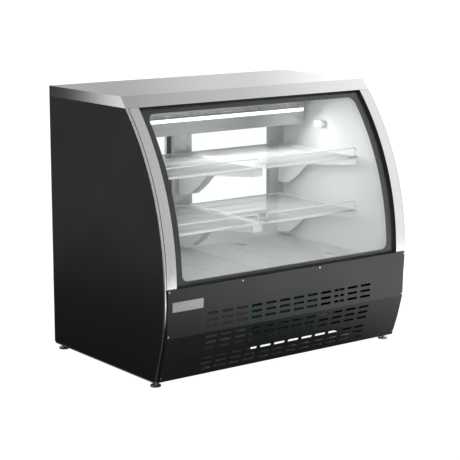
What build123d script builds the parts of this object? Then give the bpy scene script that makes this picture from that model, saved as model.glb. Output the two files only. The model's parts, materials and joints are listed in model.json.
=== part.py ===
"""Refrigerated deli display case with a curved glass front.

Millimetres, +Z up. The origin is on the floor at the centre of the case, +X is
to the right seen from the customer's side, and the customer's side faces -Y.
Most sheet and profile pieces are drawn as a side view (Y, Z) and run along X.
"""

from build123d import *
from math import asin, atan2, cos, degrees, hypot, radians, sin, sqrt, tan
import os

# Overall
WIDTH = 1200.0
DEPTH = 814.0
HEIGHT = 1080.0
FOOT_HEIGHT = 25.0
WAIST_Z = 391.0
GAP = 0.3
SHEET = 1.2
BAR_SIDES = 20
BORE_SIDES = 12

# Side walls
SIDE_WALL = 55.0
PAN_RETURN = 22.0
LINER = 1.0
LINER_FLANGE = 26.0

# Front curve, an arc that is upright at the waist
CURVE_R = 990.0
PANEL_PROUD = 5.7
EDGE_SET = 10.0
GLASS_SET = 14.0
SIDE_STRAIGHT = 36.0
SIDE_BEND_R = 752.0
SIDE_SWEEP = 17.4

# Header and top
HEADER_H = 41.4
HEADER_SET = 3.0
HEADER_JOINT = 4.0
HEADER_TAB = 14.0
CEILING_DROP = 54.0
CEILING_FRONT = 20.0

# Edge trims and silver side strips
TRIM_W = 6.0
TRIM_H = 8.0
STRIP_GAP = 1.6
STRIP_W = 43.4
STRIP_T = 1.5

# Glass unit
PANE_T = 5.0
SPACER_T = 12.0
SPACER_W = 9.0
SPACER_INSET = 4.0
GLASS_GASKET_W = 8.0
GASKET_LIP_T = 2.0
GASKET_FOOT = 2.4

# Sill below the glass
SILL_H = 27.0
SILL_D = 31.0
SILL_WALL = 2.0

# Front panel: set-back from its nose and height above its lower edge
PANEL_T = 1.5
PANEL_SIDE = 8.0
PANEL_FACETS = ((9.9, 178.0), (34.9, 88.0), (66.9, 0.0))
SLOT_L = 54.0
SLOT_H = 10.0
SLOT_POINT = 2.6
SLOT_PITCH = 69.8
SLOT_COLUMNS = 12
SLOT_ROWS = (251.0, 227.5, 204.0, 159.0, 135.0, 111.0, 71.0, 47.5, 24.0)
RAIL_W = 12.0
SCREW_R = 2.0
SCREW_HEAD_R = 4.0
SCREW_HEAD_H = 2.0
SCREW_CLEAR = 0.15
SCREW_SIDES = 6
SCREW_INSET = 5.0
SCREW_DROP = 8.0
TOP_SCREWS_X = (-247.0, 134.0)
SIDE_SCREWS_UP = (187.0, 16.0)

# Base and feet
BASE_DROP = 6.0
RAIL = 40.0
RAIL_WALL = 2.0
BASE_FRONT_SET = 86.0
CROSS_RAIL_SET = 130.0
CONDENSER_RAIL_SET = 20.0
FOOT_R = 20.5
FOOT_DISC = 8.0
FOOT_STUD_R = 6.0
FOOT_STUD_UP = 40.0
FOOT_INSET_X = 22.0
FOOT_INSET_FRONT = 22.0
FOOT_INSET_REAR = 37.0
FOOT_PLATE = 4.0
NUT_FLAT = 19.0
NUT_H = 7.0
THREAD_CLEAR = 0.1

# Insulated tank under the deck
MACHINE_CEILING_Z = 287.0
TANK_FLOOR_Z = 324.0
DECK_Z = 355.0
SKIRT_Z = 396.0
REAR_WALL_Z = 415.0
DECK_PANS = 6
DECK_JOINT = 3.0
PAN_T = 1.2

# Rear posts and shelf carriers
POST_D = 25.0
POST_T = 1.5
CENTER_POST_W = 88.0
CORNER_POST_W = 78.0
POST_SLOT_W = 3.0
POST_SLOT_H = 14.0
POST_SLOT_PITCH = 50.0
SHELF_SHARES = (192 / 516, 415 / 516)
SHELF_GLASS_GAP = 72.0
SHELF_REAR_STEP = 10.0
SHELF_INNER_X = 12.0
SHELF_OUTER_GAP = 35.0
SHELF_BAR = 6.0
SHELF_WIRE = 3.0
SHELF_PITCH = 41.0
SHELF_CROSS_WIRES = 3
GUARD_H = 40.0
GUARD_WIRE = 5.0
GUARD_R = 10.0
GUARD_INSET = 9.0
GUARD_OUTER_INSET = 23.0
BRACKET_T = 2.0
BRACKET_DECK_GAP = 16.0
BRACKET_FLAT = 38.0
BRACKET_BEND = (200.0, 75.0)
BRACKET_TIP = 41.0
BRACKET_TIP_SET = 34.0
BRACKET_FLANGE = 14.0
SIDE_BRACKET_STEP = 6.0
CENTER_BRACKET_W = 46.0
HOOK_H = 12.0
HOOK_L = 8.0

# Rear doors and their tracks
DOOR_SILL_Z = 425.0
DOOR_HEAD_DROP = 195.0
TRACK_BASE = 6.0
TRACK_RIB = 3.0
TRACK_LOWER_RIB_H = 12.0
TRACK_UPPER_RIB_H = 24.0
DOOR_T = 16.0
DOOR_SIDE_PLAY = 1.25
DOOR_OVERLAP = 50.0
DOOR_STILE = 42.0
DOOR_RAIL = 34.0
DOOR_PLAY = 1.0
DOOR_LIFT = 8.0
DOOR_GLASS_T = 5.0
DOOR_GROOVE = 8.0
PULL_W = 18.0
PULL_H = 160.0
PULL_DEEP = 9.0

# Evaporator box under the ceiling
EVAP_DEPTH = 180.0
EVAP_H = 155.0
EVAP_SIDE_GAP = 35.0
LED_DROP = 101.0
LED_H = 17.0
LED_D = 10.0
LED_INSET = 10.0
OUTLET_DROP = 76.0
OUTLET_MARGIN = 20.0
FAN_R = 62.0
FAN_CLEAR = 3.0
FAN_X = 250.0
FAN_HUB_R = 20.0
FAN_SIDES = 24
FAN_H = 16.0
BLADES = 5
BLADE_W = 24.0
BLADE_PITCH = 28.0
EVAP_COIL_H = 66.0
EVAP_COIL_DROP = 20.0
EVAP_COIL_INSET = 80.0
EVAP_FIN_PITCH = 40.0
FIN_T = 3.0

# Condensing unit on its tray
TRAY_TOP = 100.0
TRAY_LIP = 15.0
TRAY_FRONT_SET = 108.0
TRAY_DEPTH = 500.0
CONDENSER_L = 350.0
CONDENSER_SIDE_SET = 360.0
CONDENSER_H = 150.0
CONDENSER_D = 60.0
CONDENSER_SET = 128.0
FIN_PITCH = 14.0
COND_FAN_R = 68.0
SHROUD_D = 26.0
COMPRESSOR_SIDE_SET = 225.0
COMPRESSOR_FRONT_SET = 377.0
COMPRESSOR_R = 78.0
COMPRESSOR_H = 165.0
COMPRESSOR_DOME = 62.0
COMPRESSOR_FOOT_H = 16.0
SEAM_DROP = 24.0
SEAM_H = 6.0
SEAM_PROUD = 3.0
CAN_SIDES = 16
PIPE_R = 4.8
BOX_SIDE_SET = 80.0
BOX_RAIL_GAP = 8.0
BOX_SET = 67.0
BOX_DEPTH = 140.0
BOX_TOP = 260.0

# Rear panels and controls
REAR_SET = 2.0
REAR_SHEET = 1.2
LOUVRE_ROWS = 8
LOUVRE_PITCH = 26.0
LOUVRE_L = 200.0
LOUVRE_H = 7.0
LOUVRE_COLUMNS_X = (-20.0, 220.0)
CONTROL_W = 250.0
CONTROL_H = 84.0
CONTROL_DEEP = 22.0
CONTROL_T = 2.0
CONTROL_LIP = 6.0
CONTROL_SIDE_SET = 270.0
KNOB_X = 70.0
SWITCHES_X = (-30.0, -80.0)
KNOB_R = 17.0
KNOB_H = 13.0
SHAFT_R = 3.0
SWITCH_W = 22.0
SWITCH_H = 30.0
SWITCH_DEEP = 12.0
ROCKER_W = 20.0
ROCKER_H = 26.0
ROCKER_TILT = 10.0
PIVOT_IN = 4.0
PIVOT_R = 1.5
INLET_SIDE_SET = 120.0
INLET_UP = 60.0
INLET_W = 48.0
INLET_H = 30.0
INLET_DEEP = 26.0

# Derived planes
SIDE_X = WIDTH / 2
INNER_X = SIDE_X - SIDE_WALL
FIT_X = INNER_X - GAP
REAR_Y = DEPTH / 2
NOSE_Y = -DEPTH / 2
STRIP_Y = NOSE_Y + PANEL_PROUD
ARC_Y = STRIP_Y + CURVE_R
HEAD_Z = HEIGHT - HEADER_H
CEILING_Z = HEIGHT - CEILING_DROP
EVAP_BOTTOM_Z = CEILING_Z - EVAP_H
LED_Z = CEILING_Z - LED_DROP
OUTLET_Z = CEILING_Z - OUTLET_DROP
EVAP_COIL_TOP = CEILING_Z - EVAP_COIL_DROP
EVAP_COIL_BOTTOM = EVAP_COIL_TOP - EVAP_COIL_H
DOOR_HEAD_Z = HEIGHT - DOOR_HEAD_DROP
EDGE_R = CURVE_R - EDGE_SET
EDGE_Y = STRIP_Y + EDGE_SET
GLASS_R = CURVE_R - GLASS_SET
INNER_PANE_R = GLASS_R - PANE_T - SPACER_T
UNIT_R = INNER_PANE_R - PANE_T
LINER_R = GLASS_R - GASKET_LIP_T - GAP
BEND_Z = WAIST_Z - SIDE_STRAIGHT
BASE_Z = FOOT_HEIGHT - BASE_DROP
BASE_TOP = BASE_Z + RAIL
REAR_FACE = REAR_Y - REAR_SET
REAR_IN = REAR_FACE - REAR_SHEET
LANE = DOOR_T + 2 * DOOR_SIDE_PLAY
TRACK_D = 2 * LANE + 3 * TRACK_RIB
TRACK_Y = REAR_IN - GAP - TRACK_D
POST_Y = TRACK_Y - GAP - POST_D
TANK_REAR_Y = POST_Y
SHELF_REAR_Y = POST_Y - SHELF_REAR_STEP
SHELF_LEVELS = [DECK_Z + share * (EVAP_BOTTOM_Z - DECK_Z) for share in SHELF_SHARES]
BRACKET_DROP = SHELF_LEVELS[0] - DECK_Z - BRACKET_DECK_GAP
SHELF_OUTER_X = INNER_X - SHELF_OUTER_GAP
STRIP_X = SIDE_X - TRIM_W - STRIP_GAP
STRIP_INNER_X = STRIP_X - STRIP_W
GLASS_HALF = INNER_X - GLASS_GASKET_W
GLASS_BOTTOM = WAIST_Z + GASKET_FOOT
GLASS_TOP = HEAD_Z - GLASS_GASKET_W
TANK_FRONT_Y = EDGE_Y - GAP + SILL_D + GAP
PANEL_HALF = SIDE_X - PANEL_SIDE
RAIL_X = PANEL_HALF - PANEL_T - GAP
SIDE_SCREW_X = PANEL_HALF - SCREW_INSET
EVAP_FRONT_Y = POST_Y - EVAP_DEPTH
EVAP_HALF = INNER_X - EVAP_SIDE_GAP
LED_HALF = EVAP_HALF - LED_INSET
EVAP_COIL_HALF = EVAP_HALF - EVAP_COIL_INSET
EVAP_REAR_Y = POST_Y - GAP
FAN_Y = (EVAP_FRONT_Y + EVAP_REAR_Y) / 2
CONTROL_X = CONTROL_SIDE_SET - SIDE_X
CONTROL_Z = (DOOR_HEAD_Z + TRACK_BASE + HEAD_Z) / 2
CONTROL_FACE = REAR_Y - CONTROL_DEEP
INLET_X = SIDE_X - INLET_SIDE_SET
COMPRESSOR_X = SIDE_X - COMPRESSOR_SIDE_SET
COMPRESSOR_Y = NOSE_Y + COMPRESSOR_FRONT_SET
CONDENSER_X = (SIDE_X - CONDENSER_SIDE_SET - CONDENSER_L, SIDE_X - CONDENSER_SIDE_SET)
CROSS_RAILS_X = (CONDENSER_X[0] - CONDENSER_RAIL_SET, SIDE_X - CROSS_RAIL_SET)
BOX_X = (BOX_SIDE_SET - SIDE_X, CROSS_RAILS_X[0] - RAIL / 2 - BOX_RAIL_GAP)
CONDENSER_Y = NOSE_Y + CONDENSER_SET
COND_FAN_X = (CONDENSER_X[0] + CONDENSER_X[1]) / 2
COND_FAN_Z = TRAY_TOP + GAP + CONDENSER_H / 2


def arc_y(radius, z):
    """Y of a curve concentric with the front curve, at height z."""
    return ARC_Y - sqrt(radius ** 2 - (z - WAIST_Z) ** 2)


SHELF_FRONT_Y = arc_y(UNIT_R, SHELF_LEVELS[-1]) + SHELF_GLASS_GAP


def run_x(profile, x0, x1):
    """Run a side-view profile (Y, Z) along X."""
    return extrude(Plane.YZ.offset(x0) * profile, amount=x1 - x0)


def run_z(profile, z0, z1):
    """Run a plan (X, Y) up along Z."""
    return extrude(Plane.XY.offset(z0) * profile, amount=z1 - z0)


def bar(radius, z0, z1, sides=BAR_SIDES):
    """Round bar about Z, drawn with many flat sides."""
    return run_z(RegularPolygon(radius, sides), z0, z1)


def bore(radius, z0, z1, sides=BORE_SIDES):
    """Cutter for a round hole about Z, its flats at the radius."""
    return run_z(RegularPolygon(radius, sides, major_radius=False), z0, z1)


def bent_bar(points, radius, sides=6):
    """Bar along straight runs with mitred corners."""
    start, after = Vector(*points[0]), Vector(*points[1])
    section = Plane(origin=start, z_dir=after - start) * RegularPolygon(radius, sides)
    return sweep(section, path=Polyline(*points), transition=Transition.RIGHT)


def block(x0, x1, y0, y1, z0, z1):
    """A block between two corners."""
    return Pos((x0 + x1) / 2, (y0 + y1) / 2, (z0 + z1) / 2) * Box(x1 - x0, y1 - y0, z1 - z0)


def rect(a0, a1, b0, b1):
    """A rectangle between two corners of a sketch."""
    return Pos((a0 + a1) / 2, (b0 + b1) / 2) * Rectangle(a1 - a0, b1 - b0)


def poly(*points):
    """A closed straight-sided outline."""
    return make_face(Polyline(*points, close=True))


def group(*shapes):
    """Several separate solids of one node."""
    return Compound([solid for shape in shapes for solid in shape.solids()])


def mirror_x(shape):
    """The same piece on the other side of the case."""
    return mirror(shape, about=Plane.YZ)


def both(shape):
    """A piece and its mirror image, as separate solids."""
    return group(shape, mirror_x(shape))


def arc_points(cy, cz, radius, a0, a1):
    """Start, middle and end of an arc, angles in degrees above the level."""
    spots = []
    for angle in (a0, (a0 + a1) / 2, a1):
        turn = radians(angle)
        spots.append((cy - radius * cos(turn), cz + radius * sin(turn)))
    return spots


def band(r_out, r_in, z0, z1):
    """Side view of a sheet that follows the front curve between two heights."""
    ring = Pos(ARC_Y, WAIST_Z) * (Circle(r_out) - Circle(r_in))
    return ring & rect(ARC_Y - r_out - 1, ARC_Y - 1, z0, z1)


def side_outline(inset, low=None):
    """Side view of a side wall, set in all round; low gives another height for its foot."""
    r_up = EDGE_R - inset
    r_low = SIDE_BEND_R - inset
    top_z = HEAD_Z - inset
    end_z = FOOT_HEIGHT + inset if low is None else low
    rear = REAR_Y - inset
    upper = arc_points(ARC_Y, WAIST_Z, r_up, degrees(asin((top_z - WAIST_Z) / r_up)), 0)
    lower = arc_points(EDGE_Y + SIDE_BEND_R, BEND_Z, r_low, 0, -SIDE_SWEEP)
    foot_y = lower[2][0] + (lower[2][1] - end_z) * tan(radians(SIDE_SWEEP))
    edges = [
        ThreePointArc(*upper),
        Line(upper[2], lower[0]),
        ThreePointArc(*lower),
        Line(lower[2], (foot_y, end_z)),
        Line((foot_y, end_z), (rear, end_z)),
        Line((rear, end_z), (rear, top_z)),
        Line((rear, top_z), upper[0]),
    ]
    return make_face(edges)


def behind_curve(radius):
    """Side view of all that lies behind a curve concentric with the front curve."""
    low = rect(ARC_Y - radius, REAR_Y, 0, WAIST_Z)
    return Pos(ARC_Y, WAIST_Z) * Circle(radius) + low


def header_line():
    """Lower and upper Y of the header's sloping face, and its lean from the upright."""
    radius = CURVE_R - HEADER_SET
    lean = asin((HEAD_Z - WAIST_Z) / radius)
    low = arc_y(radius, HEAD_Z)
    return low, low + HEADER_H * tan(lean), lean


def ceiling_front_y():
    """Front end of the ceiling, behind the glass unit."""
    return arc_y(UNIT_R, CEILING_Z) + CEILING_FRONT


def panel_points(inset):
    """Front panel's facets from the waist down, set in by a sheet."""
    points = [(NOSE_Y, WAIST_Z)]
    points += [(NOSE_Y + back, FOOT_HEIGHT + up) for back, up in PANEL_FACETS]
    normals = []
    for (y0, z0), (y1, z1) in zip(points, points[1:]):
        length = hypot(y1 - y0, z1 - z0)
        normals.append(((z0 - z1) / length, (y1 - y0) / length))
    moved = []
    for i, (y, z) in enumerate(points):
        ay, az = normals[max(i - 1, 0)]
        by, bz = normals[min(i, len(normals) - 1)]
        scale = inset / (1 + ay * by + az * bz)
        moved.append((y + (ay + by) * scale, z + (az + bz) * scale))
    return moved


def panel_facet(z, inset=0.0):
    """The two ends of the facet at height z."""
    points = panel_points(inset)
    for upper, lower in zip(points, points[1:]):
        if z >= lower[1]:
            return upper, lower
    return points[-2], points[-1]


def panel_y(z, inset=0.0):
    """Y of the front panel's face at height z."""
    (y0, z0), (y1, z1) = panel_facet(z, inset)
    return y0 + (y1 - y0) * (z - z0) / (z1 - z0)


def panel_line(inset, low, top):
    """The facets' side view between two heights, from the top down."""
    middle = [point for point in panel_points(inset)[1:-1] if low < point[1] < top]
    return [(panel_y(top, inset), top), *middle, (panel_y(low, inset), low)]


def on_panel(shape, x, z):
    """Place a piece made about the origin, its +Z pointing out of the panel's face."""
    (y0, z0), (y1, z1) = panel_facet(z)
    lean = degrees(asin((y1 - y0) / hypot(y1 - y0, z1 - z0)))
    return Pos(x, panel_y(z), z) * Rotation(90 + lean, 0, 0) * shape


# Side walls

def side_panels():
    """Outer side sheets, each a pan with a return along its front, top and rear edge."""
    wall = run_x(side_outline(0), SIDE_X - PAN_RETURN, SIDE_X)
    hollow = run_x(side_outline(SHEET, FOOT_HEIGHT - 1), SIDE_X - PAN_RETURN - 1, SIDE_X - SHEET)
    return both(wall - hollow)


def side_liners():
    """White inner side sheets with flanges turned out along the front and the rear edge."""
    area = rect(NOSE_Y, REAR_IN - GAP, MACHINE_CEILING_Z, CEILING_Z)
    face = side_outline(GAP) & area & behind_curve(LINER_R)
    lip = band(LINER_R, LINER_R - LINER, WAIST_Z, CEILING_Z)
    sheet = run_x(face, INNER_X, INNER_X + LINER) + run_x(lip, INNER_X, INNER_X + LINER_FLANGE)
    rear = REAR_IN - GAP
    jamb = block(INNER_X, SIDE_X - SHEET - GAP, rear - LINER, rear, MACHINE_CEILING_Z, CEILING_Z)
    return both(sheet + jamb)


def side_foam():
    """Insulation between a side sheet and its liner."""
    room = side_outline(SHEET + GAP) & behind_curve(LINER_R - LINER - GAP)
    room &= rect(NOSE_Y, REAR_IN - LINER - 2 * GAP, MACHINE_CEILING_Z, HEAD_Z)
    return run_x(room, INNER_X + LINER + GAP, SIDE_X - SHEET - GAP)


def edge_trims():
    """Bright profiles on the front edge of both side walls."""
    rim = side_outline(-GAP - TRIM_H) - side_outline(-GAP)
    front = rect(NOSE_Y, REAR_Y - SIDE_WALL, FOOT_HEIGHT, HEAD_Z - GAP)
    return both(run_x(rim & front, SIDE_X - TRIM_W, SIDE_X))


def glass_side_trims():
    """Silver channels that cover the side edges of the glass unit."""
    low, top = WAIST_Z + GAP, HEAD_Z - GAP
    face = run_x(band(CURVE_R, CURVE_R - STRIP_T, low, top), STRIP_INNER_X, STRIP_X)
    outer = run_x(band(CURVE_R, EDGE_R + GAP, low, top), STRIP_X - STRIP_T, STRIP_X)
    inner = run_x(band(CURVE_R, LINER_R + GAP, low, top), STRIP_INNER_X, STRIP_INNER_X + STRIP_T)
    return both(face + outer + inner)


# Header, top and ceiling

def header_trim():
    """Sloping stainless front of the top: its face, a lip over the glass edge and a tab."""
    low, high, lean = header_line()
    t = SHEET / cos(lean)
    face = run_x(poly((low, HEAD_Z), (high, HEIGHT), (high + t, HEIGHT), (low + t, HEAD_Z)),
                 -SIDE_X, SIDE_X)
    x = SIDE_X - SHEET - GAP
    lip = block(-x, x, low + t / 2, ceiling_front_y() - 2 * GAP, HEAD_Z, HEAD_Z + SHEET)
    tab_top = HEIGHT - SHEET - GAP
    tab_y = high - (HEIGHT - tab_top) * tan(lean)
    tab = block(-x, x, tab_y, high + HEADER_TAB, tab_top - SHEET, tab_top)
    return face + lip + tab


def top_cover():
    """Stainless top sheet with bands turned down at the sides and the rear."""
    low, high, lean = header_line()
    side = poly((low + HEADER_JOINT, HEAD_Z), (high + HEADER_JOINT, HEIGHT),
                (REAR_Y, HEIGHT), (REAR_Y, HEAD_Z))
    cover = run_x(side, -SIDE_X, SIDE_X)
    inside = SIDE_X - SHEET
    cover -= block(-inside, inside, NOSE_Y, REAR_Y - SHEET, HEAD_Z - 1, HEIGHT - SHEET)
    return cover


def top_foam():
    """Insulation between the top sheet and the ceiling."""
    front = max(ceiling_front_y() + LINER, header_line()[1] + HEADER_TAB) + GAP
    x = SIDE_X - SHEET - GAP
    split = HEAD_Z + GAP
    upper = block(-x, x, front, REAR_Y - SHEET - GAP, split, HEIGHT - SHEET - GAP)
    core = block(-FIT_X, FIT_X, front, REAR_IN - GAP, CEILING_Z + LINER + GAP, split)
    return upper + core


def ceiling_liner():
    """White ceiling sheet with its front edge turned up behind the header."""
    y0 = ceiling_front_y()
    sheet = block(-FIT_X, FIT_X, y0, REAR_IN - GAP, CEILING_Z, CEILING_Z + LINER)
    return sheet + block(-FIT_X, FIT_X, y0, y0 + LINER, CEILING_Z, HEAD_Z + HEADER_H / 3)


# Glass unit

def pane(r_out):
    """One curved pane."""
    return run_x(band(r_out, r_out - PANE_T, GLASS_BOTTOM, GLASS_TOP), -GLASS_HALF, GLASS_HALF)


def glass_spacer():
    """Metal spacer all round between the two panes."""
    r_out = GLASS_R - PANE_T - GAP / 2
    r_in = INNER_PANE_R + GAP / 2
    half = GLASS_HALF - SPACER_INSET
    low, top = GLASS_BOTTOM + SPACER_INSET, GLASS_TOP - SPACER_INSET
    inner = half - SPACER_W
    ring = run_x(band(r_out, r_in, low, top), -half, half)
    return ring - run_x(band(r_out + 5, r_in - 5, low + SPACER_W, top - SPACER_W), -inner, inner)


def glass_gasket():
    """Black rubber frame round the glass unit, with a lip over each liner's edge."""
    r_out = GLASS_R + GAP / 2
    r_in = UNIT_R - 2
    low, top = WAIST_Z + GAP, HEAD_Z - GAP
    half = GLASS_HALF + GAP
    frame = run_x(band(r_out, r_in, low, top), -FIT_X, FIT_X)
    frame -= run_x(band(r_out + 5, r_in - 5, GLASS_BOTTOM - GAP, GLASS_TOP + GAP), -half, half)
    lip = run_x(band(r_out, r_out - GASKET_LIP_T, low, top), FIT_X, STRIP_INNER_X - GAP)
    return frame + lip + mirror_x(lip)


def front_sill():
    """Aluminium rail under the glass that the front panel also screws to."""
    low, top = WAIST_Z - SILL_H, WAIST_Z - PANEL_T - GAP
    front, back = panel_y(low, PANEL_T + GAP), EDGE_Y - GAP
    w = SILL_WALL
    channel = block(-RAIL_X, RAIL_X, front, back, low, top)
    channel -= block(-RAIL_X - 1, RAIL_X + 1, front + w, back + 1, low + w, top - w)
    tube = block(-FIT_X, FIT_X, back, back + SILL_D, low, WAIST_Z)
    tube -= block(-FIT_X - 1, FIT_X + 1, back + w, back + SILL_D - w, low + w, WAIST_Z - w)
    hole = bore(SCREW_R + SCREW_CLEAR, -7, 7, SCREW_SIDES)
    return channel + tube - [on_panel(hole, x, z) for x, z in screw_spots() if z > low]


# Front panel

def panel_space(inset):
    """Side view of the room behind the facets, set in by a sheet at the face and its ends."""
    line = panel_line(inset, FOOT_HEIGHT + inset, WAIST_Z - inset)
    return poly(*line, (0, line[-1][1]), (0, line[0][1]))


def slot():
    """Ventilation slot with pointed ends."""
    a, b, c = SLOT_L / 2, SLOT_H / 2, SLOT_POINT
    return poly((-a, 0), (-a + c, -b), (a - c, -b), (a, 0), (a - c, b), (-a + c, b))


def slot_columns(count):
    """X of each slot in a centred row."""
    first = -SLOT_PITCH * (count - 1) / 2
    return [first + i * SLOT_PITCH for i in range(count)]


def screw_spots():
    """X and Z of every front panel screw."""
    top_z = WAIST_Z - SCREW_DROP
    spots = [(x, top_z) for x in (-SIDE_SCREW_X, *TOP_SCREWS_X, SIDE_SCREW_X)]
    for up in SIDE_SCREWS_UP:
        spots += [(-SIDE_SCREW_X, FOOT_HEIGHT + up), (SIDE_SCREW_X, FOOT_HEIGHT + up)]
    return spots


def front_panel():
    """Dark faceted front panel with its end, top and lower returns and its slots."""
    panel = run_x(panel_space(0) - side_outline(-GAP), -PANEL_HALF, PANEL_HALF)
    inside = PANEL_HALF - PANEL_T
    panel -= run_x(panel_space(PANEL_T), -inside, inside)
    cutter = extrude(slot(), amount=8, both=True)
    hole = bore(SCREW_R + SCREW_CLEAR, -4, 4, SCREW_SIDES)
    holes = [on_panel(hole, x, z) for x, z in screw_spots()]
    for up in SLOT_ROWS:
        holes += [on_panel(cutter, x, FOOT_HEIGHT + up) for x in slot_columns(SLOT_COLUMNS)]
    return panel - holes


def front_panel_rails():
    """Strips on the side walls that take the front panel's side screws."""
    low, top = FOOT_HEIGHT + PANEL_T + GAP, WAIST_Z - SILL_H - GAP
    face = poly(*panel_line(PANEL_T + GAP, low, top),
                *reversed(panel_line(2 * PANEL_T + GAP, low, top)))
    web = (panel_space(PANEL_T + GAP) - side_outline(-GAP)) & rect(NOSE_Y, 0, low, top)
    rail = run_x(face, RAIL_X - RAIL_W, RAIL_X) + run_x(web, RAIL_X - RAIL_W, RAIL_X - RAIL_W + PANEL_T)
    hole = bore(SCREW_R + SCREW_CLEAR, -7, 7, SCREW_SIDES)
    return both(rail - [on_panel(hole, SIDE_SCREW_X, FOOT_HEIGHT + up) for up in SIDE_SCREWS_UP])


def front_panel_screws():
    """Pan-head screws that hold the front panel."""
    reach = 2 * PANEL_T + 2 * GAP + 1
    seat = GAP / 3
    screw = bar(SCREW_HEAD_R, seat, seat + SCREW_HEAD_H, SCREW_SIDES) + bar(SCREW_R, -reach, seat, SCREW_SIDES)
    return group(*[on_panel(screw, x, z) for x, z in screw_spots()])


# Base and feet

def foot_spots():
    """X and Y of the four levelling feet."""
    x = SIDE_X - FOOT_INSET_X
    front = NOSE_Y + BASE_FRONT_SET + FOOT_INSET_FRONT
    rear = REAR_Y - FOOT_INSET_REAR
    return {"front_left": (-x, front), "front_right": (x, front),
            "rear_left": (-x, rear), "rear_right": (x, rear)}


def base_frame():
    """Welded ladder of channels, open below, with a tapped plate over each foot."""
    x = SIDE_X - SHEET - 2 * GAP
    y0, y1 = NOSE_Y + BASE_FRONT_SET, REAR_IN - GAP

    def ladder(inset, z0, z1):
        bars = block(-x + inset, x - inset, y0 + inset, y1 - inset, z0, z1)
        edges = [-x, *[rail + side * RAIL / 2 for rail in CROSS_RAILS_X for side in (-1, 1)], x]
        for left, right in zip(edges[::2], edges[1::2]):
            x0 = left + (RAIL if left == -x else 0) - inset
            x1 = right - (RAIL if right == x else 0) + inset
            bars -= block(x0, x1, y0 + RAIL - inset, y1 - RAIL + inset, z0 - 1, z1 + 1)
        return bars

    frame = ladder(0, BASE_Z, BASE_TOP) - ladder(RAIL_WALL, BASE_Z - 1, BASE_TOP - RAIL_WALL)
    for fx, fy in foot_spots().values():
        side_x = x if fx > 0 else -x + RAIL
        near = y0 if fy < 0 else y1 - RAIL
        plate = block(side_x - RAIL, side_x, near, near + RAIL, BASE_Z, BASE_Z + FOOT_PLATE)
        frame += plate - Pos(fx, fy, BASE_Z) * bore(FOOT_STUD_R + THREAD_CLEAR, -1, FOOT_PLATE + 1)
    return frame


def foot(x, y):
    """One levelling foot: a pad on the floor and its threaded stud."""
    pad = chamfer(bar(FOOT_R, 0, FOOT_DISC).edges().group_by(Axis.Z)[-1], FOOT_DISC / 3)
    return Pos(x, y, 0) * (pad + bar(FOOT_STUD_R, 0, FOOT_DISC + FOOT_STUD_UP, BORE_SIDES))


def foot_locknuts():
    """Nuts that lock each foot against the base."""
    low = BASE_Z - GAP - NUT_H
    nut = bore(NUT_FLAT / 2, low, low + NUT_H, 6) - bore(FOOT_STUD_R + THREAD_CLEAR, low - 1, low + NUT_H + 1)
    return group(*[Pos(x, y, 0) * nut for x, y in foot_spots().values()])


# Tank and deck

def tank_foam():
    """Insulation under and around the tank, up to the door sill at the rear."""
    front, rear = EDGE_Y + GAP, REAR_IN - GAP
    low, floor = MACHINE_CEILING_Z + SHEET + GAP, TANK_FLOOR_Z - LINER - GAP
    inner_y0, inner_y1 = TANK_FRONT_Y - GAP, TANK_REAR_Y + LINER + GAP
    sill, lip = WAIST_Z - SILL_H - GAP, REAR_WALL_Z - LINER - GAP
    under_track = DOOR_SILL_Z - TRACK_BASE - GAP
    room = poly((front, low), (rear, low), (rear, under_track), (TRACK_Y, under_track), (TRACK_Y, lip),
                (inner_y1, lip), (inner_y1, floor), (inner_y0, floor), (inner_y0, sill), (front, sill))
    return run_x(room, -FIT_X, FIT_X) - pipe_duct(REAR_IN)


def machine_ceiling():
    """Galvanised sheet that closes the insulation above the machine space."""
    sheet = block(-FIT_X, FIT_X, EDGE_Y + GAP, REAR_IN - GAP, MACHINE_CEILING_Z, MACHINE_CEILING_Z + SHEET)
    return sheet - pipe_duct(REAR_IN)


def tank_liner():
    """White open pan under the deck, its rear wall turned back under the posts."""
    y0, y1 = TANK_FRONT_Y, TANK_REAR_Y + LINER
    pan = block(-FIT_X, FIT_X, y0, y1, TANK_FLOOR_Z - LINER, REAR_WALL_Z)
    inside = FIT_X - LINER
    pan -= block(-inside, inside, y0 + LINER, TANK_REAR_Y, TANK_FLOOR_Z, REAR_WALL_Z + 1)
    pan -= block(-SIDE_X, SIDE_X, y0 - 1, TANK_REAR_Y, SKIRT_Z, REAR_WALL_Z + 1)
    lip = block(-FIT_X, FIT_X, TANK_REAR_Y, TRACK_Y - GAP, REAR_WALL_Z - LINER, REAR_WALL_Z)
    return pan + lip - pipe_duct(REAR_IN)


def deck_pans():
    """White trays, side by side, that cover the tank."""
    half = FIT_X - LINER - GAP
    width = (2 * half - (DECK_PANS - 1) * DECK_JOINT) / DECK_PANS
    y0, y1 = TANK_FRONT_Y + LINER + GAP, TANK_REAR_Y - GAP
    low = TANK_FLOOR_Z + GAP
    pans = []
    for i in range(DECK_PANS):
        x0 = -half + i * (width + DECK_JOINT)
        tray = block(x0, x0 + width, y0, y1, low, DECK_Z)
        pans.append(tray - block(x0 + PAN_T, x0 + width - PAN_T, y0 - 1, y1 + 1, low - 1, DECK_Z - PAN_T))
    return group(*pans)


# Rear posts and shelves

def slot_heights():
    """Heights of the hook slots in the posts."""
    low, top = REAR_WALL_Z + POST_SLOT_PITCH / 2, EVAP_BOTTOM_Z - POST_SLOT_PITCH / 2
    return [low + i * POST_SLOT_PITCH for i in range(int((top - low) / POST_SLOT_PITCH) + 1)]


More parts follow.
